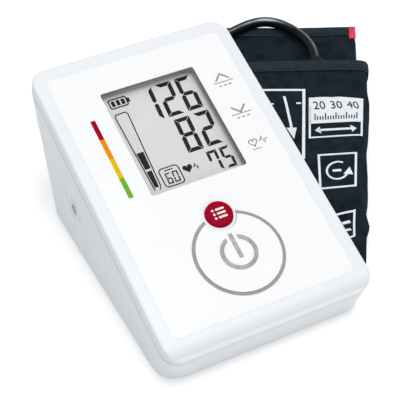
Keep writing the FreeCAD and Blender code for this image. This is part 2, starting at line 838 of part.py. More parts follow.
def make_front_panel():
    body = new_body("front_panel", tilted=True)
    outline = new_sketch(body, lift="-panel_thick")
    half_x, half_y = "(panel_width / 2)", "(panel_length / 2)"
    rounded_outline(outline, "-" + half_x, half_x, "-" + half_y, half_y, "panel_corner")
    pad(body, outline, "panel_thick")
    key_holes(body)
    return body


def window_outline(sketch, grow):
    """The display window's outline, grown by a formula on all sides."""
    rounded_outline(
        sketch,
        f"-window_left - ({grow})",
        f"window_right + {grow}",
        f"-window_front - ({grow})",
        f"window_back + {grow}",
        "window_corner",
    )


def window_plate(label, under, thick, grow):
    body = new_body(label, tilted=True)
    sketch = new_sketch(body, lift=f"-{under}")
    window_outline(sketch, grow)
    pad(body, sketch, thick)
    return body


def make_lcd_frame():
    body = window_plate("lcd_frame", "board_depth", f"board_depth - {COVER_UNDER}",
                        "lens_lap + fit_gap + bezel_width")
    seat = new_sketch(body, lift=f"-{COVER_UNDER}")
    window_outline(seat, "lens_lap + fit_gap")
    pocket(body, seat, f"{GLASS_UNDER} - {COVER_UNDER}")
    through = new_sketch(body, lift=f"-{COVER_UNDER}")
    window_outline(through, "0")
    pocket(body, through)
    return body


def make_lcd_connector():
    length = "(window_left + window_right - 4 * bezel_width)"
    middle = "(window_right - window_left) / 2"
    strips = []
    for edge in ("bezel_width - window_front", "window_back - bezel_width"):
        strips.append(block("strip", (length, "bezel_width", f"board_depth - {GLASS_UNDER}"),
                            (middle, edge), "-board_depth"))
    return in_panel_frame(group("lcd_connector", strips))


def make_circuit_board():
    body = new_body("circuit_board", tilted=True)
    outline = new_sketch(body, lift=f"-{BOARD_UNDER}")
    rounded_outline(outline, "-board_half", "board_half", "-board_front", "board_back", "board_boss")
    pad(body, outline, "board_thick")
    holes = new_sketch(body, lift=f"-{BOARD_UNDER}")
    board_screw_circles(holes, "board_screw + slide_gap")
    pocket(body, holes, reverse=True)
    return body


def make_board_chips():
    """Controller, two drivers and two reservoir capacitors under the board."""
    chips = []
    driver = "(chip_side * 0.6)"
    beside = f"chip_x + chip_side / 2 + chip_gap + {driver} / 2"
    behind = f"chip_y + chip_side / 2 + chip_gap + {driver} / 2"
    places = (("chip_side", "chip_x", "chip_y"), (driver, beside, "chip_y"), (driver, beside, behind))
    foot = f"-{BOARD_UNDER} - chip_thick"
    for side, x, y in places:
        chips.append(block("chip", (side, side, "chip_thick"), (x, y), foot))
    foot = f"-{BOARD_UNDER} - capacitor_height"
    row_y = "chip_y + chip_side / 2 + chip_gap + capacitor_radius"
    for way in (-1, 1):
        x = f"chip_x + {way} * (capacitor_radius + chip_gap / 4)"
        chips.append(rod("capacitor", "capacitor_radius", "capacitor_height", (x, row_y, foot)))
    return in_panel_frame(group("board_chips", chips))


def make_board_screws():
    screws = []
    for x in ("-board_screw_x", "board_screw_x"):
        for y in ("-board_screw_front", "board_screw_back"):
            head_z = f"-{BOARD_UNDER} - board_screw"
            head = rod("board_screw_cap", "2 * board_screw", "board_screw", (x, y, head_z))
            shank = rod("board_screw_shank", "board_screw", "board_thick + 3 * board_screw",
                        (x, y, f"-{BOARD_UNDER}"))
            screws.append(fuse("board_screw_one", [head, shank]))
    return in_panel_frame(group("board_screws", screws))


def plunger_top(travel):
    return f"(board_depth - switch_height - {travel} - fit_gap)"


def make_tact_switches():
    switches = []
    for place in ("-memory_back", "-start_back"):
        sides = ("switch_side", "switch_side", "switch_height")
        case = block("switch_case", sides, ("0", place), "-board_depth")
        well = rod("switch_well", "plunger_radius + slide_gap", "switch_height",
                   ("0", place, "board_thick / 4 - board_depth"))
        switches.append(cut("switch", case, well))
    return in_panel_frame(group("tact_switches", switches))


def make_plunger(label, place, travel):
    body = new_body(label, tilted=True)
    sketch = new_sketch(body, lift=f"-{plunger_top(travel)}")
    circle(sketch, "0", place, "plunger_radius")
    pad(body, sketch, f"{travel} + 3 * fit_gap", reverse=True)
    return body


def button_stem(body, place, travel):
    stem = new_sketch(body, lift=f"-{plunger_top(travel)}")
    circle(stem, "0", place, "stem_radius")
    pad(body, stem, f"{plunger_top(travel)} - {FLANGE_TOP} - button_flange")


def make_memory_button():
    body = new_body("memory_button", tilted=True)
    flange = new_sketch(body, lift=f"-{FLANGE_TOP} - button_flange")
    circle(flange, "0", "-memory_back", "memory_radius + button_lip")
    pad(body, flange, "button_flange")
    cap = new_sketch(body, lift=f"-{FLANGE_TOP}")
    circle(cap, "0", "-memory_back", "memory_radius")
    pad(body, cap, f"{FLANGE_TOP} + memory_rise")
    button_stem(body, "-memory_back", "memory_travel")
    dress(body, "Fillet", "memory_round", at_height(value("memory_rise")))
    return body


def make_start_button():
    body = new_body("start_button", tilted=True)
    flange = new_sketch(body, lift=f"-{FLANGE_TOP} - button_flange")
    bitten_disc(flange, "start_radius + button_lip", f"{BITE} + fit_gap")
    pad(body, flange, "button_flange")
    cap = new_sketch(body, lift=f"-{FLANGE_TOP}")
    bitten_disc(cap, "start_radius", f"{BITE} + fit_gap")
    pad(body, cap, f"{FLANGE_TOP} + start_rise")
    button_stem(body, "-start_back", "start_travel")
    return body


def make_start_ring():
    centre = ("0", "-start_back", "0")
    outer = rod("ring_outer", "ring_radius + ring_line / 2", "ring_rise", centre)
    inner = rod("ring_inner", "ring_radius - ring_line / 2", "ring_rise", centre)
    bite = rod("ring_bite", BITE, "ring_rise", ("0", "-memory_back", "0"))
    return in_panel_frame(cut("start_ring", cut("ring_whole", outer, inner), bite))


def make_power_symbol():
    centre = ("0", "-start_back", "start_rise")
    outer = rod("symbol_outer", "symbol_radius", "symbol_rise", centre)
    inner = rod("symbol_inner", "symbol_radius - symbol_line", "symbol_rise", centre)
    notch = block("symbol_notch", ("symbol_line + symbol_gap", "symbol_radius", "symbol_rise"),
                  ("0", "symbol_radius - start_back"), "start_rise")
    arc = cut("symbol_arc", cut("symbol_whole", outer, inner), notch)
    length = "symbol_bar_top + symbol_bar_foot"
    middle = "(symbol_bar_top - symbol_bar_foot) / 2 - start_back"
    bar = block("symbol_bar", ("symbol_line", length, "symbol_rise"), ("0", middle), "start_rise")
    return in_panel_frame(group("power_symbol", [arc, bar]))


# Pump, valve and air path

PUMP_Y = "(bay_back + bay_wall + 2 * fit_gap + pump_head_side / 2)"
AXIS_YZ = (PUMP_Y, "pump_z")
MANIFOLD_Y = f"({SOCKET_INNER} - manifold_side / 2)"
MANIFOLD_FOOT = "(socket_z - manifold_height / 2)"
MANIFOLD_TOP = "(socket_z + manifold_height / 2)"
OUTLET_LENGTH = "1.5 * tube_radius"
# The air lines run up beside the manifold, the sensor's in front of the pump's.
LINES_X = "(socket_x + manifold_side / 2 + line_out)"
SENSOR_LINE_Z = "(socket_z + manifold_height / 4)"
SENSOR_LINE_Y = f"({MANIFOLD_Y} - manifold_side / 4)"
SENSOR_Y = f"(({SENSOR_LINE_Y} - (panel_height - {SENSOR_LINE_Z}) * tan(slope)) * cos(slope))"


def make_pump_motor():
    can = rod("motor_can", "pump_radius", "pump_length", ("pump_left",) + AXIS_YZ, "x")
    bore = rod("motor_bore", "shaft_radius + slide_gap", "pump_length / 3",
               ("pump_right - pump_length / 3",) + AXIS_YZ, "x")
    return cut("pump_motor", can, bore)


def make_pump_head():
    middle = "pump_right + pump_head_length / 2"
    case = block("head_case", ("pump_head_length", "pump_head_side", "pump_head_side"),
                 (middle, PUMP_Y), "pump_z - pump_head_side / 2")
    outlet = rod("head_outlet", "tube_radius", OUTLET_LENGTH,
                 (middle, PUMP_Y, "pump_z + pump_head_side / 2"))
    chamber = rod("head_chamber", "crank_radius + crank_throw + button_lip", "2 * crank_thick",
                  ("pump_right",) + AXIS_YZ, "x")
    bearing = rod("head_bearing", "shaft_radius + slide_gap", "3 * crank_thick",
                  ("pump_right",) + AXIS_YZ, "x")
    return cut("pump_head", fuse("head_body", [case, outlet]), fuse("head_room", [chamber, bearing]))


def make_pump_rotor():
    shaft = rod("rotor_shaft", "shaft_radius", "pump_length / 4 + 2.8 * crank_thick",
                ("pump_right - pump_length / 4",) + AXIS_YZ, "x")
    crank = rod("rotor_crank", "crank_radius", "crank_thick",
                ("pump_right + crank_thick / 2", PUMP_Y, "pump_z + crank_throw"), "x")
    return fuse("pump_rotor", [shaft, crank])


def make_pump_cradle():
    foot = block("cradle_foot", ("0.8 * pump_length", "1.6 * pump_radius", f"pump_z - {FLOOR_TOP}"),
                 ("pump_left + pump_length / 2", PUMP_Y), FLOOR_TOP)
    seat = rod("cradle_seat", "pump_radius + slide_gap", "pump_length", ("pump_left",) + AXIS_YZ, "x")
    above = block("cradle_above", ("pump_length", "2 * pump_radius", "pump_radius"),
                  ("pump_left + pump_length / 2", PUMP_Y), "pump_z - pump_radius / 2")
    return cut("pump_cradle", foot, fuse("cradle_room", [seat, above]))


def make_air_manifold():
    centre = ("socket_x", MANIFOLD_Y)
    sides = ("manifold_side", "manifold_side", "manifold_height")
    case = block("manifold_case", sides, centre, MANIFOLD_FOOT)
    leg = block("manifold_leg", ("manifold_side / 2", "manifold_side / 2", f"{MANIFOLD_FOOT} - {FLOOR_TOP}"),
                centre, FLOOR_TOP)
    return fuse("air_manifold", [case, leg])


def make_release_valve():
    centre = ("socket_x", MANIFOLD_Y)
    case = block("valve_case", ("valve_side", "valve_side", "valve_height"), centre, MANIFOLD_TOP)
    well = rod("valve_well", "valve_pin + slide_gap", "0.7 * valve_height",
               centre + (f"{MANIFOLD_TOP} + 0.3 * valve_height",))
    return cut("release_valve", case, well)


def make_valve_plunger():
    foot = f"{MANIFOLD_TOP} + 0.3 * valve_height + valve_travel + fit_gap"
    return group("valve_plunger", [rod("valve_pin", "valve_pin", "0.7 * valve_height",
                                       ("socket_x", MANIFOLD_Y, foot))])


def make_air_socket():
    start = ("socket_x", SOCKET_INNER, "socket_z")
    barrel = rod("socket_barrel", "socket_radius", f"{SOCKET_MOUTH} - {SOCKET_INNER}", start, "y")
    bore = rod("socket_bore_cut", "socket_bore", f"{SOCKET_MOUTH} - {SOCKET_INNER}", start, "y")
    return cut("air_socket", barrel, bore)


def make_dc_jack():
    start = (f"-{JACK_FACE}", "jack_y", "jack_z")
    barrel = rod("jack_barrel", "jack_ring", "jack_length", start, "x")
    bore = rod("jack_bore_cut", "jack_bore", "0.8 * jack_length", start, "x")
    pin_start = (f"-{JACK_FACE} + jack_bore",) + start[1:]
    pin = rod("jack_pin_rod", "jack_pin", "jack_length - jack_bore", pin_start, "x")
    return fuse("dc_jack", [cut("jack_shell", barrel, bore), pin])


def make_pressure_sensor():
    centre = (LINES_X, SENSOR_Y)
    foot = f"-{BOARD_UNDER} - sensor_height"
    case = block("sensor_case", ("sensor_side", "sensor_side", "sensor_height"), centre, foot)
    nipple = rod("sensor_nipple", "tube_radius", "nipple_length", centre + (f"{foot} - nipple_length",))
    return in_panel_frame(fuse("pressure_sensor", [case, nipple]))


def make_pump_tube():
    """Air line from the pump's outlet over the motor and down to the manifold."""
    rise = value("3 * tube_radius")
    top = Vector(value("pump_right + pump_head_length / 2"), value(PUMP_Y),
                 value(f"pump_z + pump_head_side / 2 + {OUTLET_LENGTH}"))
    inlet = Vector(value("socket_x + manifold_side / 2"), value(f"{MANIFOLD_Y} + manifold_side / 4"),
                   value("socket_z - manifold_height / 6"))
    bend_x = value(LINES_X)
    points = [
        top,
        top + Vector(0, 0, rise),
        Vector(bend_x, inlet.y, top.z + rise),
        Vector(bend_x, inlet.y, inlet.z),
        inlet,
    ]
    edges, _ = arc_run(points, value("2.5 * tube_radius"))
    return solid("pump_tube", tube(edges, value("tube_radius")))


def make_sensor_tube():
    """Air line from the manifold up to the pressure sensor under the board."""
    depth = value(f"{BOARD_UNDER} + sensor_height + nipple_length")
    tip = panel_to_world(Vector(value(LINES_X), value(SENSOR_Y), -depth))
    corner = Vector(tip.x, value(SENSOR_LINE_Y), value(SENSOR_LINE_Z))
    start = Vector(value("socket_x + manifold_side / 2"), corner.y, corner.z)
    edges, _ = arc_run([start, corner, tip], value("2.5 * tube_radius"))
    return solid("sensor_tube", tube(edges, value("tube_radius")))


# The hose's coil and the battery springs


def biarc(start, start_way, end, end_way):
    """Two tangent arcs from one point and direction to another."""
    chord = end - start
    both = start_way + end_way
    a = 2 * start_way.dot(end_way) - 2
    b = -2 * chord.dot(both)
    c = chord.dot(chord)
    reach = (-b - math.sqrt(b * b - 4 * a * c)) / (2 * a)
    knees = [start + start_way * reach, end - end_way * reach]
    joint = (knees[0] + knees[1]) * 0.5
    edges = []
    for first, knee, last in ((start, knees[0], joint), (joint, knees[1], end)):
        middle = (first + last) * 0.5
        half_chord = (last - first).Length / 2
        turn = math.atan2((knee - middle).Length, half_chord)
        bulge = (knee - middle).normalize() * (half_chord * math.tan(turn / 2))
        edges.append(Part.Arc(first, middle + bulge, last).toShape())
    return edges


def winding(place, turns, lead):
    """Edges of a winding: biarcs of a quarter turn with a straight lead at each end."""
    count = round(4 * turns)
    step = 1e-3
    knots = []
    for i in range(count + 1):
        u = i / 4
        way = (place(u + step) - place(u - step)).normalize()
        knots.append((place(u), way))
    edges = [Part.makeLine(knots[0][0] - knots[0][1] * lead, knots[0][0])]
    for first, last in zip(knots, knots[1:]):
        edges += biarc(*first, *last)
    edges.append(Part.makeLine(knots[-1][0], knots[-1][0] + knots[-1][1] * lead))
    return edges


def least_gap(edges, diameter):
    """Smallest clear distance between turns, measured on points."""
    points = []
    travelled = 0.0
    for edge in edges:
        count = max(2, int(edge.Length / diameter * 4))
        for point, i in zip(edge.discretize(count + 1), range(count)):
            points.append((travelled + edge.Length * i / count, point))
        travelled += edge.Length
    least = 1e9
    for i, (s0, p0) in enumerate(points):
        for s1, p1 in points[i + 1:]:
            if s1 - s0 > 4 * diameter:
                least = min(least, (p1 - p0).Length)
    return least - diameter


def report_winding(label, edges, diameter, shape):
    length = sum(edge.Length for edge in edges)
    share = shape.Volume / (length * math.pi * diameter ** 2 / 4)
    gap = least_gap(edges, diameter)
    print(f"{label}: length {length:.1f}, volume share {share:.4f}, least gap {gap:.2f}")


COIL_TURNS = 2.25
COIL_REVERSE = 1.25
TIE_TURN = 0.75
# The coil ends behind the socket, so its middle lies one end radius to the right of it.
COIL_X = f"(socket_x + coil_radius - coil_pitch * {2 * COIL_REVERSE - COIL_TURNS})"
COIL_Y = f"({SOCKET_MOUTH} + coil_gap)"


def coil_place(u):
    """Middle of the hose u turns into its coil: inwards below, up, and outwards above."""
    pitch = value("coil_pitch")
    least = value("coil_radius") - pitch * COIL_REVERSE
    radius = least + pitch * abs(u - COIL_REVERSE)
    rise = min(max((u - COIL_REVERSE) * 2 + 0.5, 0.0), 1.0)
    angle = math.radians(90 + 360 * u)
    height = value("coil_lift + hose_diameter / 2") + pitch * rise * rise * (3 - 2 * rise)
    middle = Vector(value(COIL_X), value(COIL_Y), height)
    return middle + Vector(math.cos(angle), math.sin(angle), 0) * radius


def make_hose_coil():
    diameter = value("hose_diameter")
    edges = winding(coil_place, COIL_TURNS, diameter)
    shape = tube(edges, diameter / 2)
    report_winding("hose_coil", edges, diameter, shape)
    return solid("hose_coil", shape), edges


def make_battery_springs():
    """Leaf springs: bent strips that press the cells' flat ends away from the bay's walls."""
    springs = []
    thick = value("spring_thick")
    width = value("spring_width")
    room = value("bay_end - contact_thick")
    half = value("cell_radius / 2")
    arch = [(-half, 0), (-half / 3, room), (half / 3, room), (half, 0)]
    inner = [(half - thick, 0), (half / 3 - thick / 2, room - thick), (thick / 2 - half / 3, room - thick),
             (thick - half, 0)]
    for index in range(4):
        at_back = index % 2
        wall = value("bay_back - contact_thick") if at_back else value("contact_thick - bay_front")
        way = -1 if at_back else 1
        middle = Vector(value(cell_x(index)) - width / 2, wall, value(CELL_Z))
        spots = [middle + Vector(0, way * depth, rise) for rise, depth in arch + inner]
        strip = Part.Face(Part.makePolygon(spots + spots[:1]))
        springs.append(strip.extrude(X_AXIS * width))
    return solid("battery_springs", Part.makeCompound(springs))


# Hose, plug and cuff


def make_air_plug():
    start = ("socket_x", f"{SOCKET_MOUTH} - plug_nose", "socket_z")
    nose = rod("plug_nose_rod", "socket_bore - slide_gap", "plug_nose", start, "y")
    grip = rod("plug_grip_rod", "plug_grip", "0.6 * plug_length", ("socket_x", SOCKET_MOUTH, "socket_z"), "y")
    taper = cone("plug_taper", "plug_grip", "hose_diameter / 2 + fit_gap", "0.4 * plug_length",
                 ("socket_x", f"{SOCKET_MOUTH} + 0.6 * plug_length", "socket_z"), "y")
    bore = rod("plug_bore", "hose_bore", "plug_nose + plug_length", start, "y")
    return cut("air_plug", fuse("plug_body", [nose, grip, taper]), bore)


def cuff_to_world(point):
    turn = FreeCAD.Rotation(Z_AXIS, -value("cuff_turn"))
    return turn.multVec(point) + Vector(value("cuff_x"), value("cuff_y"), 0)


def in_cuff_frame(thing):
    """Turn a cuff piece about Z and move it to the cuff's place on the table."""
    thing.Placement = FreeCAD.Placement(Vector(), FreeCAD.Rotation(Z_AXIS, -value("cuff_turn")))
    tie(thing, "Placement.Base.x", "cuff_x")
    tie(thing, "Placement.Base.y", "cuff_y")
    tie(thing, "Placement.Rotation.Angle", "-cuff_turn")
    return thing


SLEEVE_FOOT = "(flap_thick + hem_thick + fit_gap)"
PORT_Z = f"({SLEEVE_FOOT} + sleeve_far_thick / 2)"
# Hose route between the cuff's port and the coil, on the table behind the monitor: the place from
# left to right, the share of the way from the port's run to the coil's far side, and the height.
LEAD_POINTS = [
    (123.0, 0.226, 8.2),
    (122.7, 0.483, 6.8),
    (119.0, 0.716, 6.4),
    (111.8, 0.885, 6.3),
    (101.3, 0.985, 6.3),
    (89.3, 1.015, 6.2),
    (74.0, 0.983, 4.8),
    (56.0, 0.933, 3.5),
    (41.0, 0.950, 3.35),
]
# Straight runs at the hose's ends, square to what they meet.
PORT_RUN = 9.0
COIL_RUN = 15.0
PLUG_RUN = 8.5


def make_hose_run(label, points):
    edges, radii = arc_run(points)
    radius = value("hose_diameter") / 2
    shape = tube(edges, radius)
    length = sum(edge.Length for edge in edges)
    share = shape.Volume / (length * math.pi * radius ** 2)
    print(f"{label}: length {length:.1f}, volume share {share:.4f}, radii", [round(r, 1) for r in radii])
    return solid(label, shape)


def make_hoses(coil_edges):
    port_end = cuff_to_world(Vector(value("port_x"), value("port_length"), value(PORT_Z)))
    port_way = cuff_to_world(Y_AXIS) - cuff_to_world(Vector())
    plug_end = Vector(value("socket_x"), value(f"{SOCKET_MOUTH} + plug_length"), value("socket_z"))
    coil_start, coil_in = (v.Point for v in coil_edges[0].Vertexes)
    coil_out, coil_end = (v.Point for v in coil_edges[-1].Vertexes)
    start_way = (coil_in - coil_start).normalize()
    end_way = (coil_end - coil_out).normalize()
    lead = [port_end, port_end + port_way * PORT_RUN]
    near = lead[1].y
    reach = value(f"{COIL_Y} + coil_radius") - near
    lead += [Vector(x, near + reach * share, z) for x, share, z in LEAD_POINTS]
    lead += [coil_start - start_way * COIL_RUN, coil_start]
    last = [coil_end, coil_end + end_way * PLUG_RUN, plug_end + Y_AXIS * PLUG_RUN, plug_end]
    return [make_hose_run("hose_lead", lead), make_hose_run("hose_plug_end", last)]


def make_hose_tie():
    """Strap round the two turns that lie on each other at the coil's right side."""
    body = new_body("hose_tie")
    middle = f"({COIL_X} + coil_radius - coil_pitch * {TIE_TURN})"
    for kind, grow in (("Pad", "tie_thick"), ("Pocket", "0")):
        sketch = new_sketch(body, "XZ_Plane", f"-{COIL_Y} - tie_width / 2")
        side = f"(hose_diameter / 2 + tie_gap + {grow})"
        low = f"coil_lift - slide_gap - {grow}"
        high = f"coil_lift + hose_diameter + coil_pitch + slide_gap + {grow}"
        rounded_outline(sketch, f"{middle} - {side}", f"{middle} + {side}", low, high, f"tie_thick + {grow}")
        feature(body, kind, sketch, "tie_width", reverse=kind == "Pocket")
    return body


def sleeve_form(near, far, grow):
    """Flattened cone of the sleeve between two distances behind its mouth, grown on all sides."""
    wires = []
    length = value("sleeve_length")
    for y in (near, far):
        share = -y / length
        width = value("sleeve_far_width") * (1 - share) + value("sleeve_near_width") * share
        thick = value("sleeve_far_thick") * (1 - share) + value("sleeve_near_thick") * share
        middle = value("sleeve_skew") * share
        round_r = thick / 2 + grow
        flat = width / 2 - thick / 2
        low = value(SLEEVE_FOOT) - grow
        high = low + 2 * round_r
        lean = round_r * math.sqrt(0.5)

        def spot(x, z, middle=middle, y=y):
            return Vector(middle + x, y, z)

        edges = [Part.makeLine(spot(-flat, low), spot(flat, low))]
        for side in (1, -1):
            centre_z = low + round_r
            corners = [
                (spot(side * flat, low), spot(side * (flat + lean), centre_z - lean),
                 spot(side * (flat + round_r), centre_z)),
                (spot(side * (flat + round_r), centre_z), spot(side * (flat + lean), centre_z + lean),
                 spot(side * flat, high)),
            ]
            edges += [Part.Arc(*corner).toShape() for corner in corners]
        crown = spot(0, high + value("sleeve_crown"))
        edges.append(Part.Arc(spot(flat, high), crown, spot(-flat, high)).toShape())
        wires.append(Part.Wire(Part.__sortEdges__(edges)))
    return Part.makeLoft(wires, True, True)


def port_rod(radius, start, end):
    return Part.makeCylinder(radius, end - start, Vector(value("port_x"), start, value(PORT_Z)), Y_AXIS)


def make_cuff_sleeve():
    skin = value("sleeve_skin")
    outer = sleeve_form(-value("sleeve_length"), 0, 0)
    room = sleeve_form(2 * skin - value("sleeve_length"), -2 * skin, -skin)
    hole = port_rod(value("port_radius + slide_gap"), -3 * skin, 1)
    return in_cuff_frame(solid("cuff_sleeve", outer.cut(room).cut(hole)))


def make_cuff_bladder():
    skin = value("sleeve_skin")
    gap = value("fit_gap")
    form = sleeve_form(2 * skin + gap - value("sleeve_length"), -2 * skin - gap, -skin - gap)
    return in_cuff_frame(solid("cuff_bladder", form))


def make_sleeve_hem():
    depth = value("hem_depth")
    band = sleeve_form(-depth, 0, value("hem_thick"))
    core = sleeve_form(-depth - 1, 1, value("slide_gap"))
    return in_cuff_frame(solid("sleeve_hem", band.cut(core)))


def make_cuff_port():
    skin = value("sleeve_skin")
    barrel = port_rod(value("port_radius"), -2 * skin, value("port_length"))
    collar = port_rod(value("port_radius + button_lip"), value("slide_gap"), value("port_length / 3"))
    bore = port_rod(value("hose_bore"), -2 * skin, value("port_length"))
    return in_cuff_frame(solid("cuff_port", barrel.fuse(collar).removeSplitter().cut(bore)))


def make_cuff_flap():
    """Lower layer of the cuff, reaching out behind the sleeve."""
    body = new_body("cuff_flap")
    sketch = new_sketch(body)
    near = ("sleeve_skew", "hem_depth - sleeve_length")
    corners = [
        ("-flap_left", "flap_reach"),
        (f"{near[0]} - flap_tip", near[1]),
        (f"{near[0]} + flap_tip", near[1]),
        ("flap_right", "flap_reach"),
    ]
    spots = [Vector(value(x), value(y), 0) for x, y in corners]
    for i, spot in enumerate(spots):
        sketch.addGeometry(Part.LineSegment(spot, spots[(i + 1) % 4]), False)
    for i, corner in enumerate(corners):
        sketch.addConstraint(Sketcher.Constraint("Coincident", i, 2, (i + 1) % 4, 1))
        place_point(sketch, (i, 1), *corner)
    pad(body, sketch, "flap_thick")
    return in_cuff_frame(body)


def edge_wrap(label, left, right, depth, thick):
    """Folded strip over the flap's far edge."""
    width = f"({right} - ({left}))"
    middle = f"({right} + {left}) / 2"
    top = block(label + "_top", (width, f"{depth} + {thick}", thick),
                (middle, f"flap_reach + ({thick} - {depth}) / 2"), "flap_thick")
    drop = block(label + "_drop", (width, thick, "flap_thick"), (middle, f"flap_reach + {thick} / 2"), "0")
    return in_cuff_frame(fuse(label, [top, drop]))


def make_nodes():
    coil, coil_edges = make_hose_coil()
    nodes = [
        make_top_cover(),
        make_bottom_case(),
        make_rubber_feet(),
        make_case_screws(),
        make_battery_cover(),
        make_battery_cells(),
        make_battery_contacts(),
        make_battery_springs(),
        make_front_panel(),
        window_plate("display_lens", LENS_UNDER, "lens_thick", "lens_lap"),
        window_plate("lcd_module", GLASS_UNDER, "glass_thick", "lens_lap"),
        make_lcd_frame(),
        make_lcd_connector(),
        make_circuit_board(),
        make_board_chips(),
        make_board_screws(),
        make_tact_switches(),
        make_plunger("memory_plunger", "-memory_back", "memory_travel"),
        make_plunger("start_plunger", "-start_back", "start_travel"),
        make_memory_button(),
        make_start_button(),
        make_start_ring(),
        make_power_symbol(),
        make_pressure_sensor(),
        make_pump_motor(),
        make_pump_head(),
        make_pump_rotor(),
        make_pump_cradle(),
        make_air_manifold(),
        make_release_valve(),
        make_valve_plunger(),
        make_pump_tube(),
        make_sensor_tube(),
        make_air_socket(),
        make_dc_jack(),
        make_air_plug(),
        coil,
        make_hose_tie(),
        make_cuff_sleeve(),
        make_cuff_bladder(),
        make_sleeve_hem(),
        make_cuff_port(),
        make_cuff_flap(),
        edge_wrap("flap_hem", "-flap_left", "flap_right - tab_width", "hem_depth", "hem_thick"),
        edge_wrap("cuff_tab", "flap_right - tab_width", "flap_right + hem_thick", "tab_depth", "tab_thick"),
    ]
    return nodes + make_hoses(coil_edges)


def write_parts(nodes):
    """Check every object of the document, then write one file per sub-part."""
    doc.recompute()
    for thing in doc.Objects:
        if "Invalid" in thing.State or "Error" in thing.State:
            raise RuntimeError(f"{thing.Label} did not build: {thing.State}")
    for node in nodes:
        if node.Shape.isNull() or not node.Shape.isValid():
            raise RuntimeError(f"{node.Label} has no valid shape")
    os.makedirs("parts", exist_ok=True)
    for node in nodes:
        node.Shape.exportStep(f"parts/{node.Label}.step")
        print(f"{node.Label}: {len(node.Shape.Solids)} solids, {node.Shape.Volume:.1f} mm3")


write_parts(make_nodes())
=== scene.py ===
import json
import math
import bmesh
import bpy
from mathutils import Matrix, Vector
from mathutils.bvhtree import BVHTree


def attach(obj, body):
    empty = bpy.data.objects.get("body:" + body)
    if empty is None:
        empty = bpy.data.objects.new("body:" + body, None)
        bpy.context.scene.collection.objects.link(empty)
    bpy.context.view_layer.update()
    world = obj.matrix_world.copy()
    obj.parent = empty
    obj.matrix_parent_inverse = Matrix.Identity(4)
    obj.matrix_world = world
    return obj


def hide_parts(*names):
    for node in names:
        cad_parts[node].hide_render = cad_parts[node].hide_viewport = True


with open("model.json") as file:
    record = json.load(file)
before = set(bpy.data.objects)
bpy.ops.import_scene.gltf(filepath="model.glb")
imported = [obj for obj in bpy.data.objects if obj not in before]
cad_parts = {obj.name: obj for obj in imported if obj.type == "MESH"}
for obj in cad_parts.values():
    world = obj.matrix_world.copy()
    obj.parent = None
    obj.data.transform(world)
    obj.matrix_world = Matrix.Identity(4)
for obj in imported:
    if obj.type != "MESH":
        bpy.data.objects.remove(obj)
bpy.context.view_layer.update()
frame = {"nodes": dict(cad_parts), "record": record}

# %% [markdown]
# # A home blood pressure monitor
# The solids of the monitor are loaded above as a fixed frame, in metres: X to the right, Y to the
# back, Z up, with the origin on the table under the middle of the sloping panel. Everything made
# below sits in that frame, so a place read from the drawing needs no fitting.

scene = bpy.context.scene
scene.view_settings.view_transform = "Standard"
MM = 0.001

# %% [markdown]
# ## The camera
# A product picture like this is taken from a raised place in front and to the left, with a longish
# lens so that the slope of the panel stays calm. The place and two directions of the camera are
# written out as vectors and put together into one matrix, which leaves no guess about roll.

# %% Camera
CAMERA_PLACE = Vector((-178.76, -347.1, 394.05)) * MM
CAMERA_RIGHT = Vector((0.8885, -0.4588, 0.0031))
CAMERA_LOOK = Vector((0.3376, 0.6492, -0.6816))
FRAME_PIXELS = 400
FOCAL_PIXELS = 1205.4
SENSOR_WIDTH = 36

camera_data = bpy.data.cameras.new("camera")
camera_data.sensor_width = SENSOR_WIDTH
camera_data.lens = FOCAL_PIXELS / FRAME_PIXELS * SENSOR_WIDTH
camera_data.clip_start = 0.01
camera = bpy.data.objects.new("camera", camera_data)
scene.collection.objects.link(camera)
right = CAMERA_RIGHT.normalized()
look = CAMERA_LOOK.normalized()
up = right.cross(look)
turn = Matrix((right, up, -look)).transposed().to_4x4()
camera.matrix_world = Matrix.Translation(CAMERA_PLACE) @ turn
scene.camera = camera
print("lens in mm:", round(camera_data.lens, 1))

# %% [markdown]
# ## The air hose
# One rubber hose carries air from the plug behind the monitor to the cuff. On a desk the spare
# length is wound into a small coil and tied. A hose has no corners, so it is one smooth spline: the
# points below are its control points, listed from the cuff's port to the coil behind the monitor. A
# loop then winds the coil. A mesh tube would work too, but a curve stays editable.

# %% Hose route
HOSE_DIAMETER = 5.6
PORT_END = (116.443, 87.022, 9.3)
PORT_WAY = (0.421035, 0.907044, 0.0)
PORT_RUN = 9.0
LEAD_POINTS = [
    (123.0, 106.0, 8.2),
    (123.2, 117.2, 7.0),
    (120.3, 128.6, 6.6),
    (114.0, 136.0, 6.4),
    (105.0, 137.9, 6.3),
    (95.5, 136.4, 6.2),
    (82.0, 133.6, 5.6),
    (63.0, 133.4, 4.0),
    (43.0, 140.0, 3.4),
]
COIL_MIDDLE = (1.0, 112.0586)
COIL_RADIUS = 31.0
COIL_OVAL = (0.955, 0.99)
COIL_PITCH = 5.7
COIL_FOOT = 3.35
COIL_TURNS = 2.25
COIL_REVERSE = 1.25
COIL_POINTS_A_TURN = 24
PLUG_END = (-29.8, 79.2186, 13.8)
PLUG_RUN = 8.5
COIL_APPROACH = (20.2, 0.3)
COIL_LEAVING = 13.7


def coil_point(u):
    """Middle of the hose u turns into its coil: inwards below, up, then outwards above."""
    radius = COIL_RADIUS - COIL_PITCH * (COIL_REVERSE - abs(u - COIL_REVERSE))
    rise = min(max((u - COIL_REVERSE) * 2 + 0.5, 0.0), 1.0)
    angle = math.radians(90 + 360 * u)
    height = COIL_FOOT + COIL_PITCH * rise * rise * (3 - 2 * rise)
    x = radius * COIL_OVAL[0] * math.cos(angle)
    y = radius * COIL_OVAL[1] * math.sin(angle)
    return (COIL_MIDDLE[0] + x, COIL_MIDDLE[1] + y, height)


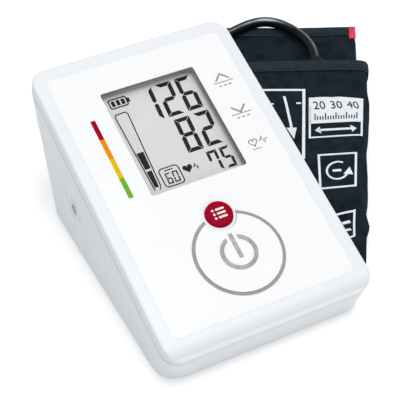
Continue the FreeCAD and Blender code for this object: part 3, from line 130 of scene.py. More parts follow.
route = [PORT_END, tuple(Vector(PORT_END) + Vector(PORT_WAY) * PORT_RUN)]
route += LEAD_POINTS
coil_steps = round(COIL_TURNS * COIL_POINTS_A_TURN)
coil = [coil_point(COIL_TURNS * step / coil_steps) for step in range(coil_steps + 1)]
route.append((coil[0][0] + COIL_APPROACH[0], coil[0][1] + COIL_APPROACH[1], COIL_FOOT))
route += coil
route.append((coil[-1][0], coil[-1][1] - COIL_LEAVING, coil[-1][2]))
route.append((PLUG_END[0], PLUG_END[1] + PLUG_RUN, PLUG_END[2]))
route.append(PLUG_END)


def smooth_hose(name, points, diameter):
    """Open spline of round section with the points, in millimetres, as its control points."""
    data = bpy.data.curves.new(name, "CURVE")
    data.dimensions = "3D"
    data.bevel_depth = 1.0
    data.bevel_resolution = 6
    data.resolution_u = 8
    data.use_fill_caps = True
    spline = data.splines.new("NURBS")
    spline.points.add(len(points) - 1)
    for spot, point in zip(spline.points, points):
        spot.co = [c * MM for c in point] + [1.0]
        spot.radius = diameter / 2 * MM
    spline.order_u = 3
    spline.use_endpoint_u = True
    piece = bpy.data.objects.new(name, data)
    scene.collection.objects.link(piece)
    return piece


hose = smooth_hose("air_hose", route, HOSE_DIAMETER)
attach(hose, "monitor")
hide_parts("hose_lead", "hose_coil", "hose_plug_end")
print("hose control points:", len(route))

# %% [markdown]
# ## How a finish is put together
# No real surface has one colour. Moulded plastic has faint clouds in it and a fine grain from the
# steel of the mould, rubber is uneven in gloss, and cloth is made of threads. Every finish below
# starts from a pattern that is worked out in space, in millimetres, so it needs no unwrapping, and
# the pattern then sets the tone, the gloss and the relief. These helpers are that recipe.

# %% Finish helpers


def node(tree, kind, sockets=(), **settings):
    """New node of a kind: sockets gives its inputs a value or a link, settings its properties."""
    made = tree.nodes.new("ShaderNode" + kind)
    for name, value in settings.items():
        setattr(made, name, value)
    for socket, value in dict(sockets).items():
        if isinstance(value, bpy.types.NodeSocket):
            tree.links.new(value, made.inputs[socket])
        else:
            made.inputs[socket].default_value = value
    return made


def new_finish(name):
    """Bare finish: the material, its tree of nodes and its shader."""
    paint = bpy.data.materials.new(name)
    paint.use_nodes = True
    return paint, paint.node_tree, paint.node_tree.nodes["Principled BSDF"]


def place_of(tree, **fit):
    """Place of a point of the surface, in metres, scaled or turned by fit."""
    where = node(tree, "TexCoord").outputs["Object"]
    return node(tree, "Mapping", {"Vector": where, **fit}).outputs["Vector"]


def clouds(tree, size, stretch=(1, 1, 1)):
    """Random pattern of patches about size millimetres wide, drawn out along the axes by stretch."""
    place = place_of(tree, Scale=[1 / s for s in stretch])
    grain = {"Vector": place, "Scale": 1 / (size * MM), "Detail": 3.0}
    return node(tree, "TexNoise", grain).outputs["Fac"]


def tint(tree, pattern, shader, *stops):
    """Let the colour follow a pattern; each stop is a share of the pattern and the tone there."""
    blend = node(tree, "ValToRGB", {"Fac": pattern})
    elements = blend.color_ramp.elements
    for share, tone in stops[1:-1]:
        elements.new(share)
    for element, (share, tone) in zip(elements, stops):
        element.position = share
        element.color = (*tone, 1)
    tree.links.new(blend.outputs["Color"], shader.inputs["Base Color"])
    return blend.color_ramp


def dull(tree, pattern, shader, low, high):
    """Let the roughness wander between two values by a pattern."""
    span = {"From Min": 0.3, "From Max": 0.7, "To Min": low, "To Max": high}
    spread = node(tree, "MapRange", {"Value": pattern, **span})
    tree.links.new(spread.outputs["Result"], shader.inputs["Roughness"])


def relief(tree, pattern, shader, depth):
    """Raise and sink the surface by a pattern, depth in millimetres."""
    bump = node(tree, "Bump", {"Height": pattern, "Strength": 0.7, "Distance": depth * MM})
    tree.links.new(bump.outputs["Normal"], shader.inputs["Normal"])


def moulded(name, low, high, rough, grain, depth, patch, metal=0.0, gloss=0.5):
    """Moulded or cast finish: broad clouds in the tone, fine grain in gloss and relief."""
    paint, tree, shader = new_finish(name)
    fine = clouds(tree, grain)
    tint(tree, clouds(tree, patch), shader, (0.3, low), (0.7, high))
    dull(tree, fine, shader, *rough)
    relief(tree, fine, shader, depth)
    shader.inputs["Metallic"].default_value = metal
    shader.inputs["Specular IOR Level"].default_value = gloss
    return paint


print("finish helpers:", [helper.__name__ for helper in (clouds, tint, dull, relief, moulded)])

# %% [markdown]
# ## Rubber of the hose
# The hose's highlight is painted into its colour: where the surface faces up and to the front, or more
# weakly up and to the right, the black turns pale blue-grey, with clouds in it.

# %% Hose finish
# Painted highlight: the two fixed directions it faces, and its tones from black to pale blue-grey
HIGHLIGHT_WAYS = ((-0.20, -0.39, 0.87), (0.28, 0.0, 0.893))
HIGHLIGHT_TONES = ((0.90, (0.003, 0.006, 0.009)), (0.96, (0.085, 0.10, 0.115)), (1.0, (0.50, 0.55, 0.59)))


def painted_highlight_rubber(name):
    """Black rubber with a painted blue-grey highlight: strong up and to the front, weaker up and to the
    right.
    """
    paint, tree, shader = new_finish(name)
    normal = node(tree, "NewGeometry").outputs["Normal"]
    facing = {}
    for index, way in enumerate(HIGHLIGHT_WAYS):
        share = node(tree, "VectorMath", {0: normal, 1: way}, operation="DOT_PRODUCT")
        facing[index] = share.outputs["Value"]
    most = node(tree, "Math", facing, operation="MAXIMUM").outputs[0]
    # The painted highlight's share: how far the surface faces either direction, with clouds in it
    film = node(tree, "Math", {0: clouds(tree, 5.0), 1: 0.06, 2: most}, operation="MULTIPLY_ADD")
    tint(tree, film.outputs[0], shader, *HIGHLIGHT_TONES)
    fine = clouds(tree, 0.8)
    dull(tree, fine, shader, 0.2, 0.3)
    relief(tree, fine, shader, 0.004)
    shader.inputs["Specular IOR Level"].default_value = 0.06
    return paint


hose_rubber = painted_highlight_rubber("hose_rubber")
hose.data.materials.append(hose_rubber)
print("hose finish:", hose_rubber.name)

# %% [markdown]
# ## Where the cuff lies
# The cuff is a cone of woven nylon with an air bladder in it, pressed flat on the table to the right
# of the monitor. It is easiest to shape it in a frame of its own: x across its open mouth, y out of
# the mouth, z up. One small function then carries a point from that frame to the table.

# %% Cuff frame
CUFF_PLACE = Vector((103.0, 87.75, 0.0))
CUFF_ACROSS = Vector((0.907044, -0.421035, 0.0))
CUFF_OUT = Vector((0.421035, 0.907044, 0.0))


def on_table(spot):
    """World place, in millimetres, of a point of the cuff's frame."""
    return CUFF_PLACE + CUFF_ACROSS * spot[0] + CUFF_OUT * spot[1] + Vector((0, 0, spot[2]))


def add_piece(name, mesh, paint, body):
    """Put a mesh into the scene with its finish, riding on a body."""
    mesh.materials.append(paint)
    piece = bpy.data.objects.new(name, mesh)
    scene.collection.objects.link(piece)
    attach(piece, body)
    return piece


def mesh_piece(name, spots, faces, paint):
    """Smooth mesh from points in millimetres, riding on the monitor."""
    mesh = bpy.data.meshes.new(name)
    mesh.from_pydata([Vector(spot) * MM for spot in spots], [], faces)
    form = bmesh.new()
    form.from_mesh(mesh)
    bmesh.ops.recalc_face_normals(form, faces=form.faces)
    form.to_mesh(mesh)
    form.free()
    mesh.shade_smooth()
    return add_piece(name, mesh, paint, "monitor")


print("cuff mouth's middle:", [round(c, 1) for c in on_table((0, 0, 0))])

# %% [markdown]
# ## Woven cloth
# Close up, the nylon is a twill: steep ribs with threads across them, dyed nearly black with a blue
# cast. Two sets of bands, the second at right angles and finer, multiply into such a weave. They are
# drawn in space, so the weave keeps its scale on the sleeve and on the flap, and a little sheen
# stands for the fluff that catches light at a low angle.

# %% Cloth finishes
BAND_SPAN = 2 * math.pi / 20


def bands(tree, width, lean):
    """Straight bands of a width in millimetres, turned by lean degrees about the vertical."""
    place = place_of(tree, Rotation=(0.35, 0.35, math.radians(lean)))
    ribs = {"Vector": place, "Scale": BAND_SPAN / (width * MM), "Distortion": 0.6, "Detail Scale": 2.0}
    return node(tree, "TexWave", ribs).outputs["Fac"]


def woven(name, low, high, rib, lean, depth, sheen, patch=7.0):
    """Woven finish: ribs with finer threads across, in a tone that wanders with the dye."""
    paint, tree, shader = new_finish(name)
    crossing = {0: bands(tree, rib, lean), 1: bands(tree, rib * 0.7, lean + 90)}
    weave = node(tree, "Math", crossing, operation="MULTIPLY").outputs[0]
    dye = node(tree, "Math", {0: weave, 1: 0.45, 2: clouds(tree, patch)}, operation="MULTIPLY_ADD")
    tint(tree, dye.outputs[0], shader, (0.3, low), (0.7, high))
    dull(tree, weave, shader, 0.75, 0.9)
    relief(tree, weave, shader, depth)
    shader.inputs["Specular IOR Level"].default_value = 0.03
    shader.inputs["Sheen Weight"].default_value = sheen
    shader.inputs["Sheen Roughness"].default_value = 0.45
    shader.inputs["Sheen Tint"].default_value = (0.62, 0.8, 1.0, 1)
    return paint


twill = woven("navy_twill", (0.002, 0.005, 0.009), (0.014, 0.022, 0.031), 1.1, 20, 0.2, 0.02)
tape = woven("binding_tape", (0.012, 0.021, 0.028), (0.024, 0.036, 0.045), 0.7, 65, 0.08, 0.03, 4.0)
thread = woven("sewing_thread", (0.003, 0.005, 0.008), (0.008, 0.013, 0.018), 0.3, 20, 0.05, 0.02, 2.0)
tab_ribbon = woven("red_ribbon", (0.66, 0.05, 0.085), (0.84, 0.08, 0.125), 0.6, 65, 0.08, 0.03, 3.0)
print("cloth finishes:", [p.name for p in (twill, tape, thread, tab_ribbon)])

# %% [markdown]
# ## The sleeve, before it is filled
# The sleeve is two layers of cloth with the bladder between them, flattened, so its section is a
# long loop with full, rounded ends. The loops below run from its narrow end to its mouth, turn in over
# the rim and close a little way inside. Away from its sewn ends the form starts a little too thin and too
# wide, because the filling makes a pad rounder, that is thicker and narrower.

# %% Sleeve form
SLEEVE_LENGTH = 144.0
SLEEVE_SKEW = 14.0
SLEEVE_FOOT = 3.3
FAR_WIDTH, NEAR_WIDTH = 78.5, 8.5
FAR_THICK, NEAR_THICK = 10.4, 7.6
SQUARENESS = 6.0
LOOP_POINTS = 72
ROW_STEP = 3.0
SLACK = 0.8
SPREAD = 1.0
RIM_KEPT = 11.0
FOOT_KEPT = 3.0
EASE_RUN = 22.0
OUTLINE_STEPS = 720
FOOT_ROWS = ((0.0, -2.2), (0.4, -0.8))
RIM_ROWS = ((0.0, -1.0), (-2.4, -1.3))


def evenly(loop, count):
    """The closed loop again, with count points at equal distances."""
    marks = [0.0]
    for first, last in zip(loop, loop[1:] + loop[:1]):
        marks.append(marks[-1] + (last - first).length)
    spots = []
    seek = 0
    for step in range(count):
        want = marks[-1] * step / count
        while marks[seek + 1] < want:
            seek += 1
        share = (want - marks[seek]) / (marks[seek + 1] - marks[seek])
        spots.append(loop[seek].lerp(loop[(seek + 1) % len(loop)], share))
    return spots


def sleeve_loop(y, grow, spread=0.0):
    """Loop round the flattened cone at a place along it, from its right side upwards."""
    share = -y / SLEEVE_LENGTH
    half_width = (FAR_WIDTH * (1 - share) + NEAR_WIDTH * share) / 2 + grow + spread
    thick = FAR_THICK * (1 - share) + NEAR_THICK * share
    middle = Vector((SLEEVE_SKEW * share, y, SLEEVE_FOOT + thick / 2))
    loop = []
    for step in range(OUTLINE_STEPS):
        angle = 2 * math.pi * step / OUTLINE_STEPS
        c, s = math.cos(angle), math.sin(angle)
        x = half_width * math.copysign(abs(c) ** (2 / SQUARENESS), c)
        z = (thick / 2 + grow) * math.copysign(abs(s) ** (2 / SQUARENESS), s)
        loop.append(middle + Vector((x, 0, z)))
    return evenly(loop, LOOP_POINTS)


def loose_at(y):
    """How free the cloth is at a place along the sleeve: 0 at its sewn ends, 1 further in."""
    share = min(max(min(-y - RIM_KEPT, SLEEVE_LENGTH + y - FOOT_KEPT) / EASE_RUN, 0.0), 1.0)
    return share * share * (3 - 2 * share)


def tube(rings, count, base=0):
    """Faces between neighbouring rings of count points each, stored one after the other."""
    faces = []
    for low in range(base, base + (rings - 1) * count, count):
        for i in range(count):
            j = (i + 1) % count
            faces.append((low + i, low + count + i, low + count + j, low + j))
    return faces


def skin(rows):
    """Faces between neighbouring loops, and across the first and the last one."""
    count = LOOP_POINTS
    faces = tube(len(rows), count)
    for base in (0, (len(rows) - 1) * count):
        for i in range(count // 2):
            corners = [i, i + 1, count - i - 1, (count - i) % count]
            faces.append([base + c for c in dict.fromkeys(corners)])
    return faces


rows = [sleeve_loop(y - SLEEVE_LENGTH, grow) for y, grow in FOOT_ROWS]
steps = int(SLEEVE_LENGTH / ROW_STEP)
for step in range(steps + 1):
    y = ROW_STEP * (step - steps)
    free = loose_at(y)
    rows.append(sleeve_loop(y, -SLACK * free, SLACK * free + SPREAD * free ** 3))
rows += [sleeve_loop(y, grow) for y, grow in RIM_ROWS]
sleeve_spots = [spot for row in rows for spot in row]
sleeve = mesh_piece("sleeve_pad", sleeve_spots, skin(rows), twill)
print("sleeve points before filling:", len(sleeve_spots))

# %% [markdown]
# ## Filling the sleeve
# A stuffed pad is hard to model by hand, because its cloth is pulled by what is inside it. Here the
# cloth solver blows the form up from within, with no gravity. Both sewn ends are held, so they stay
# crisp, and a cap keeps every point near the drawn form. Then the result becomes the mesh, and its
# underside is pressed flat on the flap it rests on.

# %% Fill
FILL_FRAMES = 20
FILL_CAP = 1.2
REST_HEIGHT = 2.75
CLOTH = {
    "quality": 8,
    "mass": 0.25,
    "tension_stiffness": 12,
    "compression_stiffness": 12,
    "shear_stiffness": 4,
    "bending_stiffness": 0.3,
    "shrink_min": -0.008,
    "use_pressure": True,
    "uniform_pressure_force": 4.0,
}


def fill(pad):
    """Blow a closed pad up with the cloth solver and keep the result as its mesh."""
    start = [v.co.copy() for v in pad.data.vertices]
    sewn = pad.vertex_groups.new(name="sewn")
    for v in pad.data.vertices:
        sewn.add([v.index], 1 - loose_at(v.co.y / MM), "REPLACE")
    swell = pad.modifiers.new("swell", "CLOTH")
    for name, value in CLOTH.items():
        setattr(swell.settings, name, value)
    swell.settings.vertex_group_mass = sewn.name
    swell.settings.effector_weights.gravity = 0
    swell.point_cache.frame_end = FILL_FRAMES
    for number in range(1, FILL_FRAMES + 1):
        scene.frame_set(number)
    filled = pad.evaluated_get(bpy.context.evaluated_depsgraph_get()).to_mesh()
    moved = []
    for v, was in zip(filled.vertices, start):
        move = v.co - was
        moved.append(was + move * min(1.0, FILL_CAP * MM / max(move.length, 1e-9)))
    pad.modifiers.clear()
    pad.vertex_groups.clear()
    scene.frame_set(1)
    for v, spot in zip(pad.data.vertices, moved):
        v.co = spot
    return [(spot - was).length / MM for spot, was in zip(moved, start)]


moves = fill(sleeve)
for v in sleeve.data.vertices:
    flat = Vector((v.co.x, v.co.y, max(v.co.z, REST_HEIGHT * MM))) / MM
    v.co = on_table(flat) * MM


def soften(piece):
    """Round a piece off by one step of subdivision."""
    rounding = piece.modifiers.new("rounding", "SUBSURF")
    rounding.levels = rounding.render_levels = 1


soften(sleeve)
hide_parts("cuff_sleeve")
average = sum(moves) / len(moves)
print("filling moved the cloth by up to", round(max(moves), 2), "mm, on average", round(average, 2))

# %% [markdown]
# ## The bladder in the sleeve
# Between the two layers of cloth lies the bladder that the pump fills, a flat rubber pocket. Nothing
# of it shows from outside, but the sleeve needs it to be complete. It has the sleeve's own loops,
# drawn in by the thickness of the cloth, with its ends rounded off.

# %% Bladder
BLADDER_IN = 3.2
BLADDER_ENDS = (-128.0, -12.0)
BLADDER_STEPS = 24
BLADDER_TAPER = 0.25
END_ROUNDING = 1.6

bladder_rows = []
for step in range(BLADDER_STEPS + 1):
    share = step / BLADDER_STEPS
    y = BLADDER_ENDS[0] + (BLADDER_ENDS[1] - BLADDER_ENDS[0]) * share
    end = END_ROUNDING * abs(2 * share - 1) ** 8
    inwards = BLADDER_IN * (1 + BLADDER_TAPER * y / SLEEVE_LENGTH)
    bladder_rows.append(sleeve_loop(y, -inwards - end))
GREY_TONES = ((0.10, 0.105, 0.11), (0.15, 0.155, 0.16))
grey_rubber = moulded("grey_rubber", *GREY_TONES, (0.6, 0.75), 0.5, 0.012, 6.0)
bladder_spots = [on_table(spot) for row in bladder_rows for spot in row]
bladder = mesh_piece("air_bladder", bladder_spots, skin(bladder_rows), grey_rubber)
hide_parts("cuff_bladder")
print("bladder loops:", len(bladder_rows))

# %% [markdown]
# ## The binding round the mouth
# A woven tape is folded over the raw edge of the cloth and sewn down. Its outside follows the same
# loops as the sleeve, grown by a fraction of a millimetre, and it turns in over the rim. A solidify
# modifier gives it the thickness of tape.

# %% Sleeve binding
HEM_DEPTH = 8.5
TAPE_THICK = 0.55

tape_rows = [
    (-HEM_DEPTH, 0.12),
    (-HEM_DEPTH + 0.6, 0.30),
    (-HEM_DEPTH * 0.8, 0.20),
    (-HEM_DEPTH / 2, 0.32),
    (-1.6, 0.30),
    (0.0, 0.18),
    (0.35, -0.35),
    (0.1, -0.95),
    (-2.0, -1.1),
]
tape_spots = [on_table(spot) for y, grow in tape_rows for spot in sleeve_loop(y, grow)]
tape_faces = tube(len(tape_rows), LOOP_POINTS)
sleeve_binding = mesh_piece("sleeve_binding", tape_spots, tape_faces, tape)


def thicken(piece, thick, side=1.0):
    """Give an open surface the thickness of a tape or print, in millimetres."""
    body = piece.modifiers.new("thickness", "SOLIDIFY")
    body.thickness = thick * MM
    body.offset = side


thicken(sleeve_binding, TAPE_THICK)
soften(sleeve_binding)
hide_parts("sleeve_hem")
print("binding points:", len(tape_spots))

# %% [markdown]
# ## Sewing
# A lockstitch shows as a row of short dark threads that dip into the tape at both ends. Each one is
# a small grain of thread: rings that grow and shrink along its length, laid on the surface at the
# pitch of a sewing machine. They are geometry, so the row also shows from the side.

# %% Stitches
STITCH_LENGTH = 1.7
STITCH_PITCH = 2.7
STITCH_RADIUS = 0.26
STITCH_DIP = 0.2
STITCH_SIDES = 6
STITCH_SHARES = (-1.0, -0.7, 0.0, 0.7, 1.0)


def stitch_row(name, places):
    """Threads at places given as (middle, direction, outward direction) in millimetres."""
    spots = []
    faces = []
    for middle, along, out in places:
        across = along.cross(out)
        base = len(spots)
        for share in STITCH_SHARES:
            size = STITCH_RADIUS * math.sqrt(1.02 - share * share)
            centre = middle + along * (share * STITCH_LENGTH / 2) - out * (STITCH_DIP * share * share)
            for corner in range(STITCH_SIDES):
                angle = 2 * math.pi * corner / STITCH_SIDES
                spots.append(centre + (across * math.cos(angle) + out * math.sin(angle)) * size)
        faces += tube(len(STITCH_SHARES), STITCH_SIDES, base)
        faces.append(tuple(range(base, base + STITCH_SIDES)))
        faces.append(tuple(range(len(spots) - STITCH_SIDES, len(spots))))
    return mesh_piece(name, spots, faces, thread)


def over_loop(loop, pitch):
    """Places at an even pitch over the upper side of a loop, from its right to its left."""
    upper = loop[: len(loop) // 2 + 1]
    length = sum((b - a).length for a, b in zip(upper, upper[1:]))
    ring = evenly(loop, 2 * round(length / pitch))
    middle = sum(loop, Vector()) / len(loop)
    places = []
    for before, spot, after in zip(ring, ring[1:], ring[2:]):
        along = (after - before).normalized()
        out = along.cross(Vector((0, 1, 0))).normalized()
        if out.dot(spot - middle) < 0:
            out = -out
        if spot.z > middle.z - 1:
            places.append((spot, along, out))
    return places


def turned(way):
    """World direction of a direction of the cuff's frame."""
    return on_table(way) - CUFF_PLACE


seam_loop = sleeve_loop(-HEM_DEPTH * 0.8, 0.20 + TAPE_THICK)
seam = [(on_table(m), turned(a), turned(o)) for m, a, o in over_loop(seam_loop, STITCH_PITCH)]
stitch_row("sleeve_stitches", seam)
print("stitches on the sleeve's binding:", len(seam))

# %% [markdown]
# ## The flap under the sleeve
# Behind the sleeve's mouth the lower layer of the cuff reaches out flat on the table. It is a sheet,
# cut as a long taper, that lies nearly flat, lifts a little where it isn't held and is drawn in
# slightly between its corners. A grid with a few gentle waves is enough: gravity would only flatten it.

# %% Flap
FLAP_FAR = 46.7
FLAP_NEAR = -127.5
FLAP_THICK = 2.1
FLAP_LEFT, FLAP_RIGHT = -36.0, 39.4
FLAP_TIP = (10.4, 20.4)
FLAP_BOW = 1.8
LEFT_DRAWN, RIGHT_DRAWN = 0.8, 0.5
WAVE_HEIGHT, RIPPLE_HEIGHT = 0.28, 0.25
FLAP_ACROSS, FLAP_ALONG = 26, 58


def bow(x):
    """How far the flap's far edge bows out at a place across it: only its left part does."""
    return FLAP_BOW * max(0.0, x / FLAP_LEFT) ** 0.8


def flap_sides(y):
    """Left and right side of the flap at a place along it."""
    share = (y - FLAP_NEAR) / (FLAP_FAR - FLAP_NEAR)
    return [tip + (end - tip) * share for tip, end in zip(FLAP_TIP, (FLAP_LEFT, FLAP_RIGHT))]


def flap_spot(u, v):
    """Middle of the flap's cloth at a share across and a share along it, in the cuff's frame."""
    y = FLAP_NEAR + (FLAP_FAR - FLAP_NEAR) * v
    left, right = flap_sides(y)
    free = min(max((y - 2) / 12, 0.0), 1.0) * min(max((FLAP_FAR - 7 - y) / 8, 0.0), 1.0)
    right += RIGHT_DRAWN * free
    left += LEFT_DRAWN * free
    x = left + (right - left) * u
    wave = WAVE_HEIGHT * (1 + math.sin(x / 6.5 + y / 11))
    ripple = RIPPLE_HEIGHT * math.sin(y / 5 - x / 9) ** 2
    return Vector((x, y + bow(x) * v ** 4, FLAP_THICK / 2 + 0.1 + (wave + ripple) * free))


flap_spots = []
for row in range(FLAP_ALONG + 1):
    for column in range(FLAP_ACROSS + 1):
        flap_spots.append(on_table(flap_spot(column / FLAP_ACROSS, row / FLAP_ALONG)))


def tiles(across, along):
    """Faces of a grid of points stored row by row."""
    wide = across + 1
    return [
        (r * wide + c, r * wide + c + 1, (r + 1) * wide + c + 1, (r + 1) * wide + c)
        for r in range(along)
        for c in range(across)
    ]


flap = mesh_piece("flap_sheet", flap_spots, tiles(FLAP_ACROSS, FLAP_ALONG), twill)
thicken(flap, FLAP_THICK, 0.0)
soften(flap)
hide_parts("cuff_flap")
print("flap grid:", FLAP_ACROSS, "by", FLAP_ALONG)

# %% [markdown]
# ## The flap's binding and its red tab
# The flap's far edge has the same binding tape, folded over it, and its right end carries a short
# red ribbon, cut with pinking shears, that shows where to pull. Both are one profile, over the top
# and round the edge, repeated along the edge; the ribbon's ends get small teeth.

# %% Flap binding and tab
TAB_WIDTH = 3.4
TAB_DEPTH = 11.6
TOP = FLAP_THICK + 0.2
BINDING_LIFT, TAB_LIFT = 0.15, 0.75


def fold_profile(depth, lift):
    """Section of a strip folded over the flap's far edge, as (y, z), from the top to underneath."""
    return [
        (FLAP_FAR - depth, TOP + lift * 0.5),
        (FLAP_FAR - depth + 0.7, TOP + lift),
        (FLAP_FAR - depth * 0.75, TOP + lift * 0.8),
        (FLAP_FAR - depth / 2, TOP + lift),
        (FLAP_FAR - 1.0, TOP + lift),
        (FLAP_FAR + 0.1, TOP - 0.25),
        (FLAP_FAR + 0.25, TOP / 2),
        (FLAP_FAR + 0.1, 0.85),
        (FLAP_FAR - 0.5, 0.68),
    ]


def fold_strip(name, ends, depth, lift, teeth, paint, thick):
    """Strip folded over the flap's edge; ends gives its left and right at a y, teeth pink them."""
    profile = fold_profile(depth, lift)
    columns = max(4, round((ends(FLAP_FAR)[1] - ends(FLAP_FAR)[0]) / 2.5))
    spots = []
    for step, (y, z) in enumerate(profile):
        notch = teeth * (step % 2)
        left, right = ends(y)
        for column in range(columns + 1):
            share = column / columns
            x = left + notch + (right - left - 2 * notch) * share
            wave = 0.12 * math.sin(x / 4.0)
            spots.append(on_table((x, y + bow(x), z + wave * (step < 5))))
    piece = mesh_piece(name, spots, tiles(columns, len(profile) - 1), paint)
    thicken(piece, thick)
    return piece


def binding_ends(y):
    """The binding runs from the flap's left side to just under the tab."""
    left, right = flap_sides(y)
    return left - 0.1, right - TAB_WIDTH + 0.6


def tab_ends(y):
    """The tab covers the flap's right corner."""
    right = flap_sides(y)[1]
    return right - TAB_WIDTH, right + 0.5


flap_binding = fold_strip(
    "flap_binding", binding_ends, HEM_DEPTH, BINDING_LIFT, 0.0, tape, TAPE_THICK
)
soften(flap_binding)
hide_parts("flap_hem")
red_tab = fold_strip("red_tab", tab_ends, TAB_DEPTH, TAB_LIFT, 0.22, tab_ribbon, 0.3)
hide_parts("cuff_tab")
fold_seam = []
stitch = FLAP_LEFT + 1.2
while stitch < FLAP_RIGHT - TAB_WIDTH - 1:
    y = FLAP_FAR - HEM_DEPTH * 0.75 + bow(stitch)
    middle = on_table((stitch, y, TOP + BINDING_LIFT + TAPE_THICK))
    fold_seam.append((middle, CUFF_ACROSS, Vector((0, 0, 1))))
    stitch += STITCH_PITCH
flap_stitches = stitch_row("flap_stitches", fold_seam)
print("stitches on the flap's binding:", len(fold_seam))

# %% [markdown]
# ## Drawing with ink
# The marks on the cuff and on the panel are screen printed: a layer of ink a tenth of a millimetre
# thick with clean edges. They could be painted into a material, but as thin pieces they keep sharp
# at any distance and show in the solid. A mark is a list of flat tiles, and these helpers draw
# lines, blocks and rounded frames as such tiles.

# %% Ink helpers
INK_THICK = 0.12
NARROW = 0.72
CAP_HEIGHT = 0.7
MITRE_LIMIT = 0.4
CORNER_STEPS = 4


def line(path, width, closed=False):
    """Tiles of a drawn line of a width along flat points, mitred at its corners."""
    spots = [Vector(spot) for spot in path]
    edges = []
    for i, spot in enumerate(spots):
        ways = []
        if closed or i:
            ways.append((spot - spots[i - 1]).normalized())
        if closed or i < len(spots) - 1:
            ways.append((spots[(i + 1) % len(spots)] - spot).normalized())
        along = sum(ways, Vector((0, 0))).normalized()
        side = Vector((-along.y, along.x))
        reach = width / 2 / max(MITRE_LIMIT, side.dot(Vector((-ways[0].y, ways[0].x))))
        edges.append((spot + side * reach, spot - side * reach))
    pairs = list(zip(edges, edges[1:])) + ([(edges[-1], edges[0])] if closed else [])
    return [[a[0], a[1], b[1], b[0]] for a, b in pairs]


def block(corners):
    """One tile of any outline."""
    return [[Vector(corner) for corner in corners]]


def arc(middle, radius, start, end, steps):
    """Points along an arc, its angles in degrees."""
    points = []
    for step in range(steps + 1):
        angle = math.radians(start + (end - start) * step / steps)
        points.append((middle[0] + radius * math.cos(angle), middle[1] + radius * math.sin(angle)))
    return points


def rounded(left, low, right, high, corner):
    """Outline of a box with round corners."""
    outline = []
    for x, y, start in (
        (right - corner, low + corner, -90),
        (right - corner, high - corner, 0),
        (left + corner, high - corner, 90),
        (left + corner, low + corner, 180),
    ):
        outline += arc((x, y), corner, start, start + 90, CORNER_STEPS)
    return outline


def ink_piece(name, drawing, place, paint, body="monitor", cell=None):
    """Thin piece of ink from flat tiles; place carries a flat point to its surface, in millimetres."""
    ink = bmesh.new()
    for tile in drawing:
        area = sum(a.x * b.y - b.x * a.y for a, b in zip(tile, tile[1:] + tile[:1]))
        corners = tile if area > 0 else tile[::-1]
        ink.faces.new([ink.verts.new((corner.x, corner.y, 0)) for corner in corners])
    bmesh.ops.remove_doubles(ink, verts=ink.verts, dist=0.01)
    while cell:
        wide = [edge for edge in ink.edges if edge.calc_length() > cell]
        if not wide:
            break
        bmesh.ops.subdivide_edges(ink, edges=wide, cuts=1, use_grid_fill=True)
    for v in ink.verts:
        v.co = place(v.co.x, v.co.y) * MM
    mesh = bpy.data.meshes.new(name)
    ink.to_mesh(mesh)
    ink.free()
    piece = add_piece(name, mesh, paint, body)
    thicken(piece, INK_THICK)
    return piece


def numerals(text, middle, height, lean):
    """Tiles of plain narrow numbers centred on a flat point, set along the direction lean."""
    data = bpy.data.curves.new("numerals", "FONT")
    data.body = text
    data.size = height / CAP_HEIGHT
    data.align_x = "CENTER"
    data.align_y = "CENTER"
    data.resolution_u = 3
    setting = bpy.data.objects.new("numerals", data)
    scene.collection.objects.link(setting)
    bpy.context.view_layer.update()
    glyphs = setting.to_mesh()
    across = Vector(lean).normalized()
    up = Vector((-across.y, across.x))
    drawing = []
    for face in glyphs.polygons:
        corners = [glyphs.vertices[i].co for i in face.vertices]
        drawing.append([Vector(middle) + across * c.x * NARROW + up * c.y for c in corners])
    setting.to_mesh_clear()
    bpy.data.objects.remove(setting)
    bpy.data.curves.remove(data)
    return drawing


CLOTH_INK = {"rough": (0.5, 0.7), "grain": 0.5, "depth": 0.02, "patch": 3.0, "gloss": 0.1}
white_ink = moulded("white_ink", (0.78, 0.83, 0.86), (0.86, 0.90, 0.92), **CLOTH_INK)
dark_ink = moulded("dark_ink", (0.006, 0.011, 0.016), (0.014, 0.021, 0.028), **CLOTH_INK)
print("ink finishes:", white_ink.name, dark_ink.name)

# %% [markdown]
# ## Prints on the cuff
# A cuff carries signs in white: how far round an arm it reaches, how to lay it, how to close it. The
# ones here are plain signs of the builder's own. A ray dropped from above finds the cloth under each
# point, so the ink lies on the filled sleeve and follows its swell; a point past its side takes the
# nearest cloth.

# %% Cuff prints
RAY_START = 60.0
sleeve_surface = BVHTree.FromObject(sleeve, bpy.context.evaluated_depsgraph_get())


def on_sleeve(lift):
    """Carries a flat point of the cuff's frame down on to the sleeve's upper side."""

    def place(x, y):
        above = on_table((x, y, RAY_START)) * MM
        hit = sleeve_surface.ray_cast(above, Vector((0, 0, -1)))[0]
        if hit is None:
            hit = sleeve_surface.find_nearest(above)[0]
        return hit / MM + Vector((0, 0, lift))

    return place


def across_quad(corners, u, v):
    """Flat point at a share to the right and a share down a four-cornered field."""
    top_left, top_right, low_right, low_left = (Vector(corner) for corner in corners)
    return top_left.lerp(top_right, u).lerp(low_left.lerp(low_right, u), v)


def field(corners, outline):
    """Points given as shares of a four-cornered field, carried into it."""
    return [across_quad(corners, u, v) for u, v in outline]


LABEL = [(5.0, -30.8), (32.2, -30.2), (27.5, -60.1), (1.7, -61.6)]
LABEL_SPLIT = 0.66
PICTURE = [(-25.9, -22.4), (2.8, -23.4), (-2.9, -76.1), (-9.4, -75.9)]
SIGN = [(4.6, -74.6), (22.9, -73.5), (19.6, -96.4), (2.8, -98.0)]
SMALL = [(8.0, -114.2), (17.1, -112.0), (14.7, -128.5), (10.2, -130.4)]
FULL = [(0, 0), (1, 0), (1, 1), (0, 1)]
CELL = 1.3
INK_LIFT = 0.04

